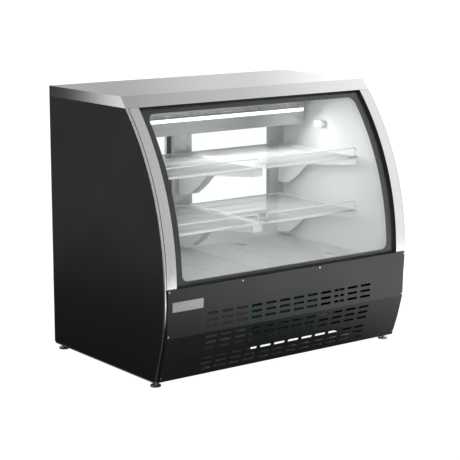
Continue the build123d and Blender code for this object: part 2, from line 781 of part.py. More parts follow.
def post(x0, x1, slots_x):
    """Upright channel, open to the rear, between the tank's lip and the ceiling."""
    z0, z1 = REAR_WALL_Z + GAP, CEILING_Z - GAP
    y1 = POST_Y + POST_D
    shell = block(x0, x1, POST_Y, y1, z0, z1)
    shell -= block(x0 + POST_T, x1 - POST_T, POST_Y + POST_T, y1 + 1, z0 - 1, z1 + 1)
    size = (POST_SLOT_W, 4 * POST_T, POST_SLOT_H)
    return shell - [Pos(x, POST_Y, z) * Box(*size) for x in slots_x for z in slot_heights()]


def side_bracket_x():
    """Middle of a side bracket's sheet."""
    return SHELF_OUTER_X + SIDE_BRACKET_STEP


def center_post():
    """Post in the middle of the rear opening."""
    half = CENTER_POST_W / 2
    hook_x = (CENTER_BRACKET_W - BRACKET_T) / 2
    return post(-half, half, (-hook_x, hook_x))


def corner_posts():
    """Posts in the rear corners, the right one open for the pipes."""
    right = post(FIT_X - CORNER_POST_W, FIT_X, (side_bracket_x(),))
    return group(right - pipe_window(), mirror_x(right))


def bracket_profile(level):
    """Side view of a shelf bracket, deep at its post and slim at its tip."""
    top = level - SHELF_BAR - GAP
    rear = POST_Y - GAP
    tip_y = SHELF_FRONT_Y + BRACKET_TIP_SET
    low = level - BRACKET_DROP
    flat_y = rear - BRACKET_FLAT
    bend_y, bend_z = rear - BRACKET_BEND[0], level - BRACKET_BEND[1]
    outline = poly((rear, top), (rear, low), (flat_y, low),
                   (flat_y + (bend_y - flat_y) * 0.25, low + (bend_z - low) * 0.08),
                   (flat_y + (bend_y - flat_y) * 0.6, low + (bend_z - low) * 0.45),
                   (bend_y, bend_z), (tip_y, level - BRACKET_TIP), (tip_y, top))
    return outline + hooks(low + HOOK_H, top - HOOK_H)


def hooks(low, top):
    """Side view of a bracket's two hooks, which hang in the post's slots."""
    spots = [z for z in slot_heights() if low < z < top]
    back = POST_Y + POST_T + GAP
    parts = Sketch()
    for z in (spots[0], spots[-1]):
        parts += rect(POST_Y - GAP - 1, back, z - HOOK_H / 2, z + HOOK_H / 2)
        parts += rect(back, back + HOOK_L, z - HOOK_H, z + HOOK_H / 2)
    return parts


def side_brackets():
    """Flanged sheet brackets beside the side liners, two at each shelf level."""
    x = side_bracket_x()
    brackets = []
    for level in SHELF_LEVELS:
        top = level - SHELF_BAR - GAP
        sheet = run_x(bracket_profile(level), x - BRACKET_T / 2, x + BRACKET_T / 2)
        tip_y = SHELF_FRONT_Y + BRACKET_TIP_SET
        flange = block(x - BRACKET_FLANGE, x, tip_y, POST_Y - 2 * GAP, top - BRACKET_T, top)
        brackets.append(both(sheet + flange))
    return group(*brackets)


def center_brackets():
    """Brackets on the centre post, each two sheets joined by a top and a front plate."""
    half = CENTER_BRACKET_W / 2
    brackets = []
    for level in SHELF_LEVELS:
        top = level - SHELF_BAR - GAP
        tip_y = SHELF_FRONT_Y + BRACKET_TIP_SET
        sheet = run_x(bracket_profile(level), half - BRACKET_T, half)
        front = block(-half, half, tip_y, tip_y + BRACKET_T, level - BRACKET_TIP, top)
        cap = block(-half, half, tip_y, POST_Y - 2 * GAP, top - BRACKET_T, top)
        brackets.append(sheet + mirror_x(sheet) + front + cap)
    return group(*brackets)


def wire_shelf(level):
    """Right-hand wire shelf: a bar frame, close wires from front to back, and cross wires."""
    x0, x1 = SHELF_INNER_X, SHELF_OUTER_X
    y0, y1 = SHELF_FRONT_Y, SHELF_REAR_Y
    b, w = SHELF_BAR, SHELF_WIRE
    frame = rect(x0, x1, y0, y1) - rect(x0 + b, x1 - b, y0 + b, y1 - b)
    span = x1 - x0 - b
    count = round(span / SHELF_PITCH)
    middles = [x0 + b / 2 + i * span / count for i in range(1, count)]
    wires = Sketch() + [rect(x - w / 2, x + w / 2, y0 + b / 2, y1 - b / 2) for x in middles]
    wire_top = level - b / 12
    shelf = run_z(frame, level - b, level) + run_z(wires, wire_top - w, wire_top)
    cross = []
    for i in range(1, SHELF_CROSS_WIRES + 1):
        y = y0 + (y1 - y0) * i / (SHELF_CROSS_WIRES + 1)
        cross.append(block(x0 + b / 2, x1 - b / 2, y - w / 2, y + w / 2, level - b, wire_top - w - 0.1))
    return shelf + cross


def shelf_pair(level):
    """Left and right wire shelf at one level."""
    return both(wire_shelf(level))


def shelf_guard(level):
    """Wire loop that stands on the front bar of the right-hand shelf."""
    x0, x1 = SHELF_INNER_X + GUARD_INSET, SHELF_OUTER_X - GUARD_OUTER_INSET
    z0, z1 = level + GAP + GUARD_WIRE / 2, level + GUARD_H - GUARD_WIRE / 2
    y = SHELF_FRONT_Y + SHELF_BAR / 2
    bend = [(GUARD_R * (1 - cos(radians(a))), GUARD_R * (1 - sin(radians(a)))) for a in (0, 30, 60, 90)]
    corners = [(x0 + dx, z1 - dz) for dx, dz in bend] + [(x1 - dx, z1 - dz) for dx, dz in reversed(bend)]
    loop = bent_bar([(x0, y, z0), *[(x, y, z) for x, z in corners], (x1, y, z0)], GUARD_WIRE / 2)
    half = GUARD_WIRE / 2
    return loop + block(x0 - half, x1 + half, y - half, y + half, level + GAP, level + GAP + GUARD_WIRE)


def shelf_guards():
    """The four front guards."""
    return group(*[both(shelf_guard(level)) for level in SHELF_LEVELS])


# Rear doors

def door_track(z0, z1, rib_z0, rib_z1):
    """Two-lane track profile run across the rear opening."""
    base = rect(TRACK_Y, TRACK_Y + TRACK_D, z0, z1)
    for i in range(3):
        y = TRACK_Y + i * (LANE + TRACK_RIB)
        base += rect(y, y + TRACK_RIB, rib_z0, rib_z1)
    return run_x(base, -FIT_X, FIT_X)


def lower_door_track():
    """Track that the doors stand in."""
    return door_track(DOOR_SILL_Z - TRACK_BASE, DOOR_SILL_Z, DOOR_SILL_Z, DOOR_SILL_Z + TRACK_LOWER_RIB_H)


def upper_door_track():
    """Track over the doors, deep enough to lift them out."""
    return door_track(DOOR_HEAD_Z, DOOR_HEAD_Z + TRACK_BASE, DOOR_HEAD_Z - TRACK_UPPER_RIB_H, DOOR_HEAD_Z)


def door_box(side):
    """Sides of a door: side -1 is the left door in the inner lane, +1 the right one."""
    outer, inner = side * (FIT_X - DOOR_PLAY), -side * DOOR_OVERLAP
    lane = 0 if side < 0 else 1
    middle = TRACK_Y + TRACK_RIB + LANE / 2 + lane * (LANE + TRACK_RIB)
    return (min(outer, inner), max(outer, inner), middle, DOOR_SILL_Z + GAP, DOOR_HEAD_Z - DOOR_LIFT)


def door_glass(side):
    """Glass of one door, seated in the frame's groove."""
    x0, x1, middle, z0, z1 = door_box(side)
    in_x, in_z = DOOR_STILE - DOOR_GROOVE + GAP, DOOR_RAIL - DOOR_GROOVE + GAP
    half = DOOR_GLASS_T / 2
    return block(x0 + in_x, x1 - in_x, middle - half, middle + half, z0 + in_z, z1 - in_z)


def door_frame(side):
    """Aluminium frame of one door, grooved for its glass, with a recessed finger pull."""
    x0, x1, middle, z0, z1 = door_box(side)
    rear = middle + DOOR_T / 2
    frame = block(x0, x1, middle - DOOR_T / 2, rear, z0, z1)
    frame -= block(x0 + DOOR_STILE, x1 - DOOR_STILE, middle - DOOR_T, middle + DOOR_T,
                   z0 + DOOR_RAIL, z1 - DOOR_RAIL)
    half = DOOR_GLASS_T / 2 + GAP
    gx, gz = DOOR_STILE - DOOR_GROOVE, DOOR_RAIL - DOOR_GROOVE
    frame -= block(x0 + gx, x1 - gx, middle - half, middle + half, z0 + gz, z1 - gz)
    pull_x = x0 + gx / 2 if side < 0 else x1 - gx / 2
    return frame - Pos(pull_x, rear, (z0 + z1) / 2) * Box(PULL_W, 2 * PULL_DEEP, PULL_H)


# Rear panels and controls

def rear_header():
    """White beam over the doors: its inner sheet and the flange turned to the rear."""
    z0 = DOOR_HEAD_Z + TRACK_BASE + GAP
    beam = block(-FIT_X, FIT_X, TRACK_Y, TRACK_Y + REAR_SHEET, z0, CEILING_Z - GAP)
    return beam + block(-FIT_X, FIT_X, TRACK_Y, REAR_IN - GAP, z0, z0 + REAR_SHEET)


def rear_header_sheet():
    """White outer sheet that closes the beam over the doors, open for the controls."""
    x = SIDE_X - PAN_RETURN - GAP
    z0 = DOOR_HEAD_Z + TRACK_BASE + GAP
    return block(-x, x, REAR_IN, REAR_FACE, z0, HEAD_Z - GAP) - control_room(GAP)


def header_foam():
    """Insulation inside the beam over the doors."""
    z0 = DOOR_HEAD_Z + TRACK_BASE + REAR_SHEET + 2 * GAP
    fill = block(-FIT_X, FIT_X, TRACK_Y + REAR_SHEET + GAP, REAR_IN - GAP, z0, CEILING_Z - GAP)
    back = CONTROL_FACE - CONTROL_T - SWITCH_DEEP - GAP
    pocket = block(CONTROL_X - CONTROL_W / 2, CONTROL_X + CONTROL_W / 2, back, REAR_Y,
                   CONTROL_Z - CONTROL_H / 2, CONTROL_Z + CONTROL_H / 2)
    return fill - pocket - control_room(GAP)


def control_room(grow):
    """Room that the recessed control panel takes, grown all round."""
    x, z = CONTROL_W / 2 + grow, CONTROL_H / 2 + grow
    return block(CONTROL_X - x, CONTROL_X + x, CONTROL_FACE - CONTROL_T - grow, REAR_Y + 1,
                 CONTROL_Z - z, CONTROL_Z + z)


def control_panel():
    """Recessed plastic pan with the openings for the knob and the two switches."""
    t = CONTROL_T
    pan = control_room(0) & block(-SIDE_X, SIDE_X, 0, REAR_FACE, 0, HEIGHT)
    x, z = CONTROL_W / 2 + CONTROL_LIP, CONTROL_H / 2 + CONTROL_LIP
    pan += block(CONTROL_X - x, CONTROL_X + x, REAR_FACE + GAP / 2, REAR_Y - GAP, CONTROL_Z - z, CONTROL_Z + z)
    pan += control_room(0) & block(-SIDE_X, SIDE_X, REAR_FACE - 1, REAR_Y - GAP, 0, HEIGHT)
    pan -= block(CONTROL_X - CONTROL_W / 2 + t, CONTROL_X + CONTROL_W / 2 - t, CONTROL_FACE, REAR_Y + 1,
                 CONTROL_Z - CONTROL_H / 2 + t, CONTROL_Z + CONTROL_H / 2 - t)
    for x in SWITCHES_X:
        spot = Pos(CONTROL_X + x, CONTROL_FACE - t - SWITCH_DEEP / 2, CONTROL_Z)
        pan += spot * Box(SWITCH_W + 2 * t, SWITCH_DEEP, SWITCH_H + 2 * t)
    for x in SWITCHES_X:
        spot = Pos(CONTROL_X + x, CONTROL_FACE, CONTROL_Z)
        pan -= spot * Box(SWITCH_W, 2 * SWITCH_DEEP, SWITCH_H)
        pin = Pos(CONTROL_X + x, CONTROL_FACE - PIVOT_IN, CONTROL_Z) * Rotation(0, 90, 0)
        pan -= pin * bore(PIVOT_R + THREAD_CLEAR, 0.5 - SWITCH_W / 2 - t, SWITCH_W / 2 + t - 0.5)
    shaft = Pos(CONTROL_X + KNOB_X, CONTROL_FACE, CONTROL_Z) * Rotation(90, 0, 0)
    return pan - shaft * bore(SHAFT_R + THREAD_CLEAR, -3 * t, 3 * t)


def thermostat_knob():
    """Round knob with a raised pointer, on its shaft."""
    knob = bar(KNOB_R, 2 * GAP, KNOB_H - 2, CAN_SIDES)
    knob += Pos(0, KNOB_R / 2, KNOB_H - 2) * Box(3, KNOB_R, 4)
    knob += bar(SHAFT_R, -CONTROL_T - 8, 2, BORE_SIDES)
    return Pos(CONTROL_X + KNOB_X, CONTROL_FACE, CONTROL_Z) * Rotation(-90, 0, 0) * knob


def rocker_switch(x):
    """Rocker with a shallow V face and a pin each side, resting on its lower end."""
    a = ROCKER_H / 2
    face_y = PIVOT_IN + 5
    side = poly((-1, -a), (face_y, -a), (face_y - 2.3, 0), (face_y, a), (-1, a), (-4, 0))
    rocker = run_x(side, -ROCKER_W / 2, ROCKER_W / 2)
    pin_end = (SWITCH_W + CONTROL_T) / 2
    rocker += Rotation(0, 90, 0) * bar(PIVOT_R, -pin_end, pin_end, BORE_SIDES)
    place = Pos(CONTROL_X + x, CONTROL_FACE - PIVOT_IN, CONTROL_Z)
    return place * Rotation(ROCKER_TILT, 0, 0) * rocker


def inlet_z():
    """Height of the power inlet."""
    return BASE_TOP + INLET_UP


def rear_panel():
    """Outer rear sheet below the doors, louvred over the machine space."""
    x = SIDE_X - PAN_RETURN - GAP
    top = DOOR_SILL_Z - TRACK_BASE - GAP
    sheet = block(-x, x, REAR_IN, REAR_FACE, BASE_TOP + GAP, top)
    middle = (BASE_TOP + MACHINE_CEILING_Z) / 2
    cuts = []
    for i in range(LOUVRE_ROWS):
        z = middle + (i - (LOUVRE_ROWS - 1) / 2) * LOUVRE_PITCH
        cuts += [Pos(lx, REAR_IN, z) * Box(LOUVRE_L, 6 * REAR_SHEET, LOUVRE_H) for lx in LOUVRE_COLUMNS_X]
    body = Box(INLET_W - 8 + 2 * GAP, 6 * REAR_SHEET, INLET_H - 6 + 2 * GAP)
    return sheet - cuts - Pos(INLET_X, REAR_IN, inlet_z()) * body


def power_inlet():
    """Panel socket for a mains lead, with its three pins."""
    y0 = REAR_FACE - INLET_DEEP
    z = inlet_z()
    w, h = (INLET_W - 8) / 2, (INLET_H - 6) / 2
    body = block(INLET_X - w, INLET_X + w, y0, REAR_FACE + 1, z - h, z + h)
    body += block(INLET_X - INLET_W / 2, INLET_X + INLET_W / 2, REAR_FACE + GAP / 2, REAR_Y - GAP,
                  z - INLET_H / 2, z + INLET_H / 2)
    body -= block(INLET_X - w + 7, INLET_X + w - 7, y0 + 6, REAR_Y + 1, z - h + 3, z + h - 3)
    for dx, dz in ((-7, -2), (7, -2), (0, 3)):
        body += block(INLET_X + dx - 1, INLET_X + dx + 1, y0 + 5, REAR_FACE - 4, z + dz - 2, z + dz + 2)
    return body


# Cooling under the ceiling

def finned_block(length, height, depth, pitch):
    """Finned coil with its end plates, centred in length and height, fins open at y = 0."""
    core = Pos(0, depth / 2, 0) * Box(length, depth, height)
    count = int((length - 2 * FIN_T) / pitch)
    first = -(count - 1) * pitch / 2
    deep = depth * 0.7
    cut = Box(pitch - FIN_T, deep + 2, height - 2 * FIN_T)
    return core - [Pos(first + i * pitch, deep / 2 - 1, 0) * cut for i in range(count)]


def evaporator_cover():
    """White box under the ceiling with an outlet row in front and a hole for each fan."""
    y0, y1 = EVAP_FRONT_Y, EVAP_REAR_Y
    top = CEILING_Z - GAP
    cover = block(-EVAP_HALF, EVAP_HALF, y0, y1, EVAP_BOTTOM_Z, top)
    cover -= block(-EVAP_HALF + SHEET, EVAP_HALF - SHEET, y0 + SHEET, y1 + 1, EVAP_BOTTOM_Z + SHEET, top + 1)
    cuts = [Pos(x, y0, OUTLET_Z) * Rotation(90, 0, 0) * extrude(slot(), amount=8, both=True)
            for x in slot_columns(int(2 * (EVAP_HALF - OUTLET_MARGIN) / SLOT_PITCH))]
    cuts += [Pos(x, FAN_Y, EVAP_BOTTOM_Z) * bore(FAN_R + FAN_CLEAR, -4, 4, FAN_SIDES) for x in (-FAN_X, FAN_X)]
    return cover - cuts


def evaporator_coil():
    """Finned coil above the fans, hung from the ceiling by its end plates."""
    depth = EVAP_REAR_Y - EVAP_FRONT_Y - 4 * FAN_HUB_R / 3
    height = EVAP_COIL_TOP - EVAP_COIL_BOTTOM
    coil = Rotation(90, 0, 0) * finned_block(2 * EVAP_COIL_HALF, depth, height, EVAP_FIN_PITCH)
    coil = Pos(0, FAN_Y, EVAP_COIL_BOTTOM) * coil
    hanger = block(EVAP_COIL_HALF - FIN_T, EVAP_COIL_HALF, FAN_Y - depth / 2, FAN_Y + depth / 2,
                   EVAP_COIL_BOTTOM, CEILING_Z - GAP)
    return coil + hanger + mirror_x(hanger)


def fan(radius):
    """Axial fan about +Z from z = 0, its hub bored for the motor's shaft."""
    reach = sqrt(radius ** 2 - (BLADE_W / 2) ** 2) - 1
    root = FAN_HUB_R * 0.7
    plan = poly((root, -BLADE_W / 4), (reach, -BLADE_W / 2), (reach, BLADE_W / 2), (root, BLADE_W / 4))
    blade = Pos(0, 0, FAN_H / 2) * Rotation(BLADE_PITCH, 0, 0) * run_z(plan, -0.8, 0.8)
    rotor = bar(FAN_HUB_R, 0, FAN_H, BORE_SIDES) + [Rotation(0, 0, i * 360 / BLADES) * blade for i in range(BLADES)]
    return rotor - bore(SHAFT_R + THREAD_CLEAR, 2, FAN_H + 1, SCREW_SIDES)


def evaporator_fan(x):
    """Fan over one hole of the evaporator box."""
    return Pos(x, FAN_Y, EVAP_BOTTOM_Z + SHEET + FAN_CLEAR) * fan(FAN_R)


def fan_motor(body_r, body_h, shaft_l):
    """Motor about +Z, its shaft hanging below z = 0."""
    return bar(body_r, 0, body_h, BORE_SIDES) + bar(SHAFT_R, -shaft_l, 0, SCREW_SIDES)


def evaporator_fan_motor(x):
    """Motor over one evaporator fan, on a strap that bridges the hole."""
    z0 = EVAP_BOTTOM_Z + SHEET + FAN_CLEAR + FAN_H + FAN_CLEAR
    motor = Pos(x, FAN_Y, z0) * fan_motor(FAN_HUB_R, 2 * FAN_HUB_R, FAN_H)
    span = FAN_R + 3 * FAN_CLEAR
    w = FAN_HUB_R / 2
    strap = block(x - span, x + span, FAN_Y - w, FAN_Y + w, z0 + w, z0 + w + RAIL_WALL)
    for side in (-1, 1):
        leg = x + side * (span - RAIL_WALL / 2)
        strap += block(leg - RAIL_WALL / 2, leg + RAIL_WALL / 2, FAN_Y - w, FAN_Y + w,
                       EVAP_BOTTOM_Z + SHEET + GAP, z0 + w)
    return motor + strap


def led_housing():
    """Aluminium channel of the light on the front of the evaporator box."""
    y1 = EVAP_FRONT_Y - GAP
    w = SILL_WALL / 2
    bar = block(-LED_HALF, LED_HALF, y1 - LED_D, y1, LED_Z, LED_Z + LED_H)
    return bar - block(-LED_HALF + w, LED_HALF - w, y1 - LED_D - 1, y1 - w, LED_Z + w, LED_Z + LED_H - w)


def led_diffuser():
    """White diffuser that fills the light's channel."""
    y1 = EVAP_FRONT_Y - GAP
    w = SILL_WALL / 2 + GAP
    return block(-LED_HALF + w, LED_HALF - w, y1 - LED_D, y1 - w, LED_Z + w, LED_Z + LED_H - w)


# Machine space

def unit_tray():
    """Galvanised tray on side webs that carries the condensing unit."""
    x0, x1 = CROSS_RAILS_X[0] - RAIL / 2, CROSS_RAILS_X[1] + RAIL / 2
    y0 = NOSE_Y + TRAY_FRONT_SET
    y1 = y0 + TRAY_DEPTH
    t = RAIL_WALL
    tray = block(x0, x1, y0, y1, BASE_TOP + GAP, TRAY_TOP)
    tray -= block(x0 + t, x1 - t, y0 + t, y1 - t, 0, TRAY_TOP - t)
    return tray - block(x0 + t, x1 - t, y0 - 1, y1 + 1, 0, TRAY_TOP - TRAY_LIP)


def condenser_coil():
    """Finned condenser coil, standing on the tray behind the front slots."""
    length = CONDENSER_X[1] - CONDENSER_X[0]
    return Pos(COND_FAN_X, CONDENSER_Y, COND_FAN_Z) * finned_block(length, CONDENSER_H, CONDENSER_D, FIN_PITCH)


def condenser_shroud():
    """Sheet hood behind the coil with the fan's hole."""
    y0 = CONDENSER_Y + CONDENSER_D + GAP
    y1 = y0 + SHROUD_D
    z0, z1 = TRAY_TOP + GAP, TRAY_TOP + GAP + CONDENSER_H
    hood = block(*CONDENSER_X, y0, y1, z0, z1)
    hood -= block(CONDENSER_X[0] + SHEET, CONDENSER_X[1] - SHEET, y0 - 1, y1 - SHEET, z0 + SHEET, z1 - SHEET)
    hole = Pos(COND_FAN_X, y1, COND_FAN_Z) * Rotation(90, 0, 0) * bore(COND_FAN_R + FAN_CLEAR, -4, 4, FAN_SIDES)
    return hood - hole


def condenser_fan():
    """Fan in the hood's hole, blowing towards the compressor."""
    y0 = CONDENSER_Y + CONDENSER_D + SHROUD_D + GAP - FAN_H / 2
    return Pos(COND_FAN_X, y0, COND_FAN_Z) * Rotation(-90, 0, 0) * fan(COND_FAN_R)


def condenser_fan_motor():
    """Motor behind the condenser fan, on a foot that stands on the tray."""
    y0 = CONDENSER_Y + CONDENSER_D + SHROUD_D + GAP + FAN_H / 2 + FAN_CLEAR
    length = 2 * FAN_HUB_R
    motor = Pos(COND_FAN_X, y0, COND_FAN_Z) * Rotation(-90, 0, 0) * fan_motor(1.3 * FAN_HUB_R, length, FAN_H)
    leg = block(COND_FAN_X - FAN_HUB_R / 2, COND_FAN_X + FAN_HUB_R / 2, y0 + length / 4, y0 + length / 2,
                TRAY_TOP + GAP, COND_FAN_Z)
    plate = block(COND_FAN_X - FAN_HUB_R, COND_FAN_X + FAN_HUB_R, y0, y0 + length,
                  TRAY_TOP + GAP, TRAY_TOP + GAP + RAIL_WALL)
    return motor + leg + plate


def fan_motors():
    """The three fan motors."""
    return group(evaporator_fan_motor(-FAN_X), evaporator_fan_motor(FAN_X), condenser_fan_motor())


def cone(r0, r1, z0, z1):
    """Many-sided bar that narrows from one radius to another."""
    inward = (r0 - r1) * cos(radians(180 / CAN_SIDES))
    foot = Plane.XY.offset(z0) * RegularPolygon(r0, CAN_SIDES)
    return extrude(foot, amount=z1 - z0, taper=degrees(atan2(inward, z1 - z0)))


def compressor():
    """Sealed compressor: a domed can with a welded seam on a square foot plate."""
    r, shoulder = COMPRESSOR_R, COMPRESSOR_H - COMPRESSOR_DOME
    can = bar(r, 0, shoulder, CAN_SIDES)
    rings = [(r * cos(radians(a)), shoulder + COMPRESSOR_DOME * sin(radians(a))) for a in (0, 30, 55, 75)]
    for (r0, z0), (r1, z1) in zip(rings, rings[1:]):
        can += cone(r0, r1, z0, z1)
    seam = bar(r + SEAM_PROUD, shoulder - SEAM_DROP, shoulder - SEAM_DROP + SEAM_H, CAN_SIDES)
    body = can + seam + block(-r, r, -0.8 * r, 0.8 * r, 0, COMPRESSOR_FOOT_H / 2)
    for sx in (-0.85, 0.85):
        for sy in (-0.65, 0.65):
            body += Pos(sx * r, sy * r, 0) * bar(COMPRESSOR_FOOT_H / 2, 0, COMPRESSOR_FOOT_H, SCREW_SIDES)
    return Pos(COMPRESSOR_X, COMPRESSOR_Y, TRAY_TOP + GAP) * body


def electrical_box():
    """Grey box beside the condensing unit, with its lid."""
    x0, x1 = BOX_X
    y0 = NOSE_Y + BOX_SET
    lid = 3 * SHEET
    z0 = BASE_TOP + GAP
    box = block(x0 + lid, x1 - lid, y0 + lid, y0 + BOX_DEPTH, z0, BOX_TOP - lid)
    return box + block(x0, x1, y0, y0 + lid, z0, BOX_TOP)


def duct_x():
    """X of the two pipes behind the right corner post."""
    right = EVAP_HALF - 2.5 * PIPE_R
    return right - 4 * PIPE_R, right


def duct_y():
    """Y of the pipes behind the corner post."""
    return POST_Y + POST_D / 2


def pipe_duct(y_max):
    """Clear way for the pipes up through the tank's insulation."""
    left, right = duct_x()
    side = 2 * PIPE_R
    return block(left - side, right + side, duct_y() - side, min(duct_y() + side, y_max),
                 MACHINE_CEILING_Z - 1, DOOR_SILL_Z)


def pipe_z():
    """Height at which the pipes enter the evaporator box."""
    return (EVAP_COIL_BOTTOM + EVAP_COIL_TOP) / 2


def pipe_window():
    """Opening in the right corner post where the pipes pass into the evaporator box."""
    left, right = duct_x()
    side = 2 * PIPE_R
    return block(left - side, right + side, POST_Y - 1, POST_Y + POST_T + 1, pipe_z() - side, pipe_z() + side)


def refrigerant_lines():
    """Suction and liquid lines up to the evaporator, and the compressor's discharge line."""
    left, right = duct_x()
    back = duct_y()
    coil_x = EVAP_COIL_HALF + GAP
    body_z = TRAY_TOP + GAP + COMPRESSOR_H * 0.35
    side_x = COMPRESSOR_X + COMPRESSOR_R + GAP
    suction = bent_bar([
        (side_x, COMPRESSOR_Y, body_z), (right, COMPRESSOR_Y, body_z), (right, back, body_z),
        (right, back, pipe_z()), (right, FAN_Y + FAN_HUB_R, pipe_z()), (coil_x, FAN_Y + FAN_HUB_R, pipe_z()),
    ], PIPE_R)
    coil_y = CONDENSER_Y + CONDENSER_D / 2
    low_z = COND_FAN_Z - CONDENSER_H / 4
    liquid = bent_bar([
        (CONDENSER_X[1] + GAP, coil_y, low_z), (left, coil_y, low_z), (left, back, low_z),
        (left, back, pipe_z()), (left, FAN_Y - FAN_HUB_R, pipe_z()), (coil_x, FAN_Y - FAN_HUB_R, pipe_z()),
    ], PIPE_R)
    high_z = COND_FAN_Z + CONDENSER_H * 0.4
    front_y = COMPRESSOR_Y - COMPRESSOR_R - GAP
    discharge = bent_bar([
        (COMPRESSOR_X, front_y, body_z), (COMPRESSOR_X, coil_y, body_z),
        (COMPRESSOR_X, coil_y, high_z), (CONDENSER_X[1] + GAP, coil_y, high_z),
    ], PIPE_R)
    return group(suction, liquid, discharge)


def foam_insulation():
    """Every block of insulation."""
    return group(both(side_foam()), tank_foam(), top_foam(), header_foam())


def nodes():
    """Every node of the case by name."""
    low, high = SHELF_LEVELS
    parts = {
        "base_frame": base_frame(),
        "foot_locknuts": foot_locknuts(),
        "side_panels": side_panels(),
        "side_liners": side_liners(),
        "foam_insulation": foam_insulation(),
        "edge_trims": edge_trims(),
        "glass_side_trims": glass_side_trims(),
        "header_trim": header_trim(),
        "top_cover": top_cover(),
        "ceiling_liner": ceiling_liner(),
        "glass_outer": pane(GLASS_R),
        "glass_inner": pane(INNER_PANE_R),
        "glass_spacer": glass_spacer(),
        "glass_gasket": glass_gasket(),
        "front_sill": front_sill(),
        "front_panel": front_panel(),
        "front_panel_rails": front_panel_rails(),
        "front_panel_screws": front_panel_screws(),
        "tank_liner": tank_liner(),
        "machine_ceiling": machine_ceiling(),
        "deck_pans": deck_pans(),
        "center_post": center_post(),
        "corner_posts": corner_posts(),
        "center_brackets": center_brackets(),
        "side_brackets": side_brackets(),
        "lower_shelves": shelf_pair(low),
        "upper_shelves": shelf_pair(high),
        "shelf_guards": shelf_guards(),
        "evaporator_cover": evaporator_cover(),
        "evaporator_coil": evaporator_coil(),
        "fan_motors": fan_motors(),
        "led_housing": led_housing(),
        "led_diffuser": led_diffuser(),
        "upper_door_track": upper_door_track(),
        "lower_door_track": lower_door_track(),
        "rear_header": rear_header(),
        "rear_header_sheet": rear_header_sheet(),
        "rear_panel": rear_panel(),
        "control_panel": control_panel(),
        "power_inlet": power_inlet(),
        "unit_tray": unit_tray(),
        "condenser_coil": condenser_coil(),
        "condenser_shroud": condenser_shroud(),
        "compressor": compressor(),
        "electrical_box": electrical_box(),
        "refrigerant_lines": refrigerant_lines(),
        "left_door_frame": door_frame(-1),
        "right_door_frame": door_frame(1),
        "left_door_glass": door_glass(-1),
        "right_door_glass": door_glass(1),
        "evaporator_fan_left": evaporator_fan(-FAN_X),
        "evaporator_fan_right": evaporator_fan(FAN_X),
        "condenser_fan": condenser_fan(),
        "thermostat_knob": thermostat_knob(),
        "main_switch": rocker_switch(SWITCHES_X[0]),
        "light_switch": rocker_switch(SWITCHES_X[1]),
    }
    for name, (x, y) in foot_spots().items():
        parts[f"{name}_foot"] = foot(x, y)
    return parts


os.makedirs("parts", exist_ok=True)
for node, shape in nodes().items():
    export_step(shape, f"parts/{node}.step")
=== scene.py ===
"""Refrigerated curved-glass display case: looks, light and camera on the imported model."""

import json
from math import atan2, cos, pi, radians, sin, sqrt

import bmesh
import bpy
from mathutils import Matrix, Vector


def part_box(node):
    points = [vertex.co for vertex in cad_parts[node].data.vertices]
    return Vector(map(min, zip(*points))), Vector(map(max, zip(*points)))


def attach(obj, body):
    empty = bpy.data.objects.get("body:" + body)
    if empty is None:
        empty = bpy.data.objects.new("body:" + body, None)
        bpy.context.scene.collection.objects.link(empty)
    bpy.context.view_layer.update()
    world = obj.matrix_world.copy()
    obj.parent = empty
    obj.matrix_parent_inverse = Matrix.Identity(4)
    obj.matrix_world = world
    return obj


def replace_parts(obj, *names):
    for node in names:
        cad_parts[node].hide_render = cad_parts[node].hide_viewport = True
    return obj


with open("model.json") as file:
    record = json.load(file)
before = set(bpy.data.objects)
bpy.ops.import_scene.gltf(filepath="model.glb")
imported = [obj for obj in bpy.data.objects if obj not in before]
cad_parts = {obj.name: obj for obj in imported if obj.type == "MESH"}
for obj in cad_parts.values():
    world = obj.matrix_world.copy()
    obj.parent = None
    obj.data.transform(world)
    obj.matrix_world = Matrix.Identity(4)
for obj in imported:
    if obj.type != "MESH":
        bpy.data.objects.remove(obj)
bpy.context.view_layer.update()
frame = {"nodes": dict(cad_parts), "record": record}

NODES = frame["nodes"]

# Sizes in metres, as in the part's source
CURVE_Y, CURVE_Z = 0.5887, 0.391
GLASS_R = 0.976
PANE_T, SPACER_T = 0.005, 0.012
HEAD_Z = 1.0386
HEADER_FACE = (-0.1561, -0.1201)
FACETS = ((-0.407, 0.391), (-0.3971, 0.203), (-0.3721, 0.113), (-0.3401, 0.025))
INNER_X = 0.545
SHELF_LEVELS = (0.547, 0.770)
SHELF_X = (0.012, 0.510)
SHELF_BAR, SHELF_CORNER = 0.006, 0.008
GUARD_X = (0.021, 0.487)
GUARD_H, GUARD_R = 0.040, 0.012
GUARD_WIRE_R = 0.0024
SCREWS = ((-0.587, 0.383), (-0.247, 0.383), (0.134, 0.383), (0.587, 0.383),
          (-0.587, 0.212), (0.587, 0.212), (-0.587, 0.041), (0.587, 0.041))
OUTLET_Z, OUTLET_PITCH, OUTLETS = 0.950, 0.0698, 14

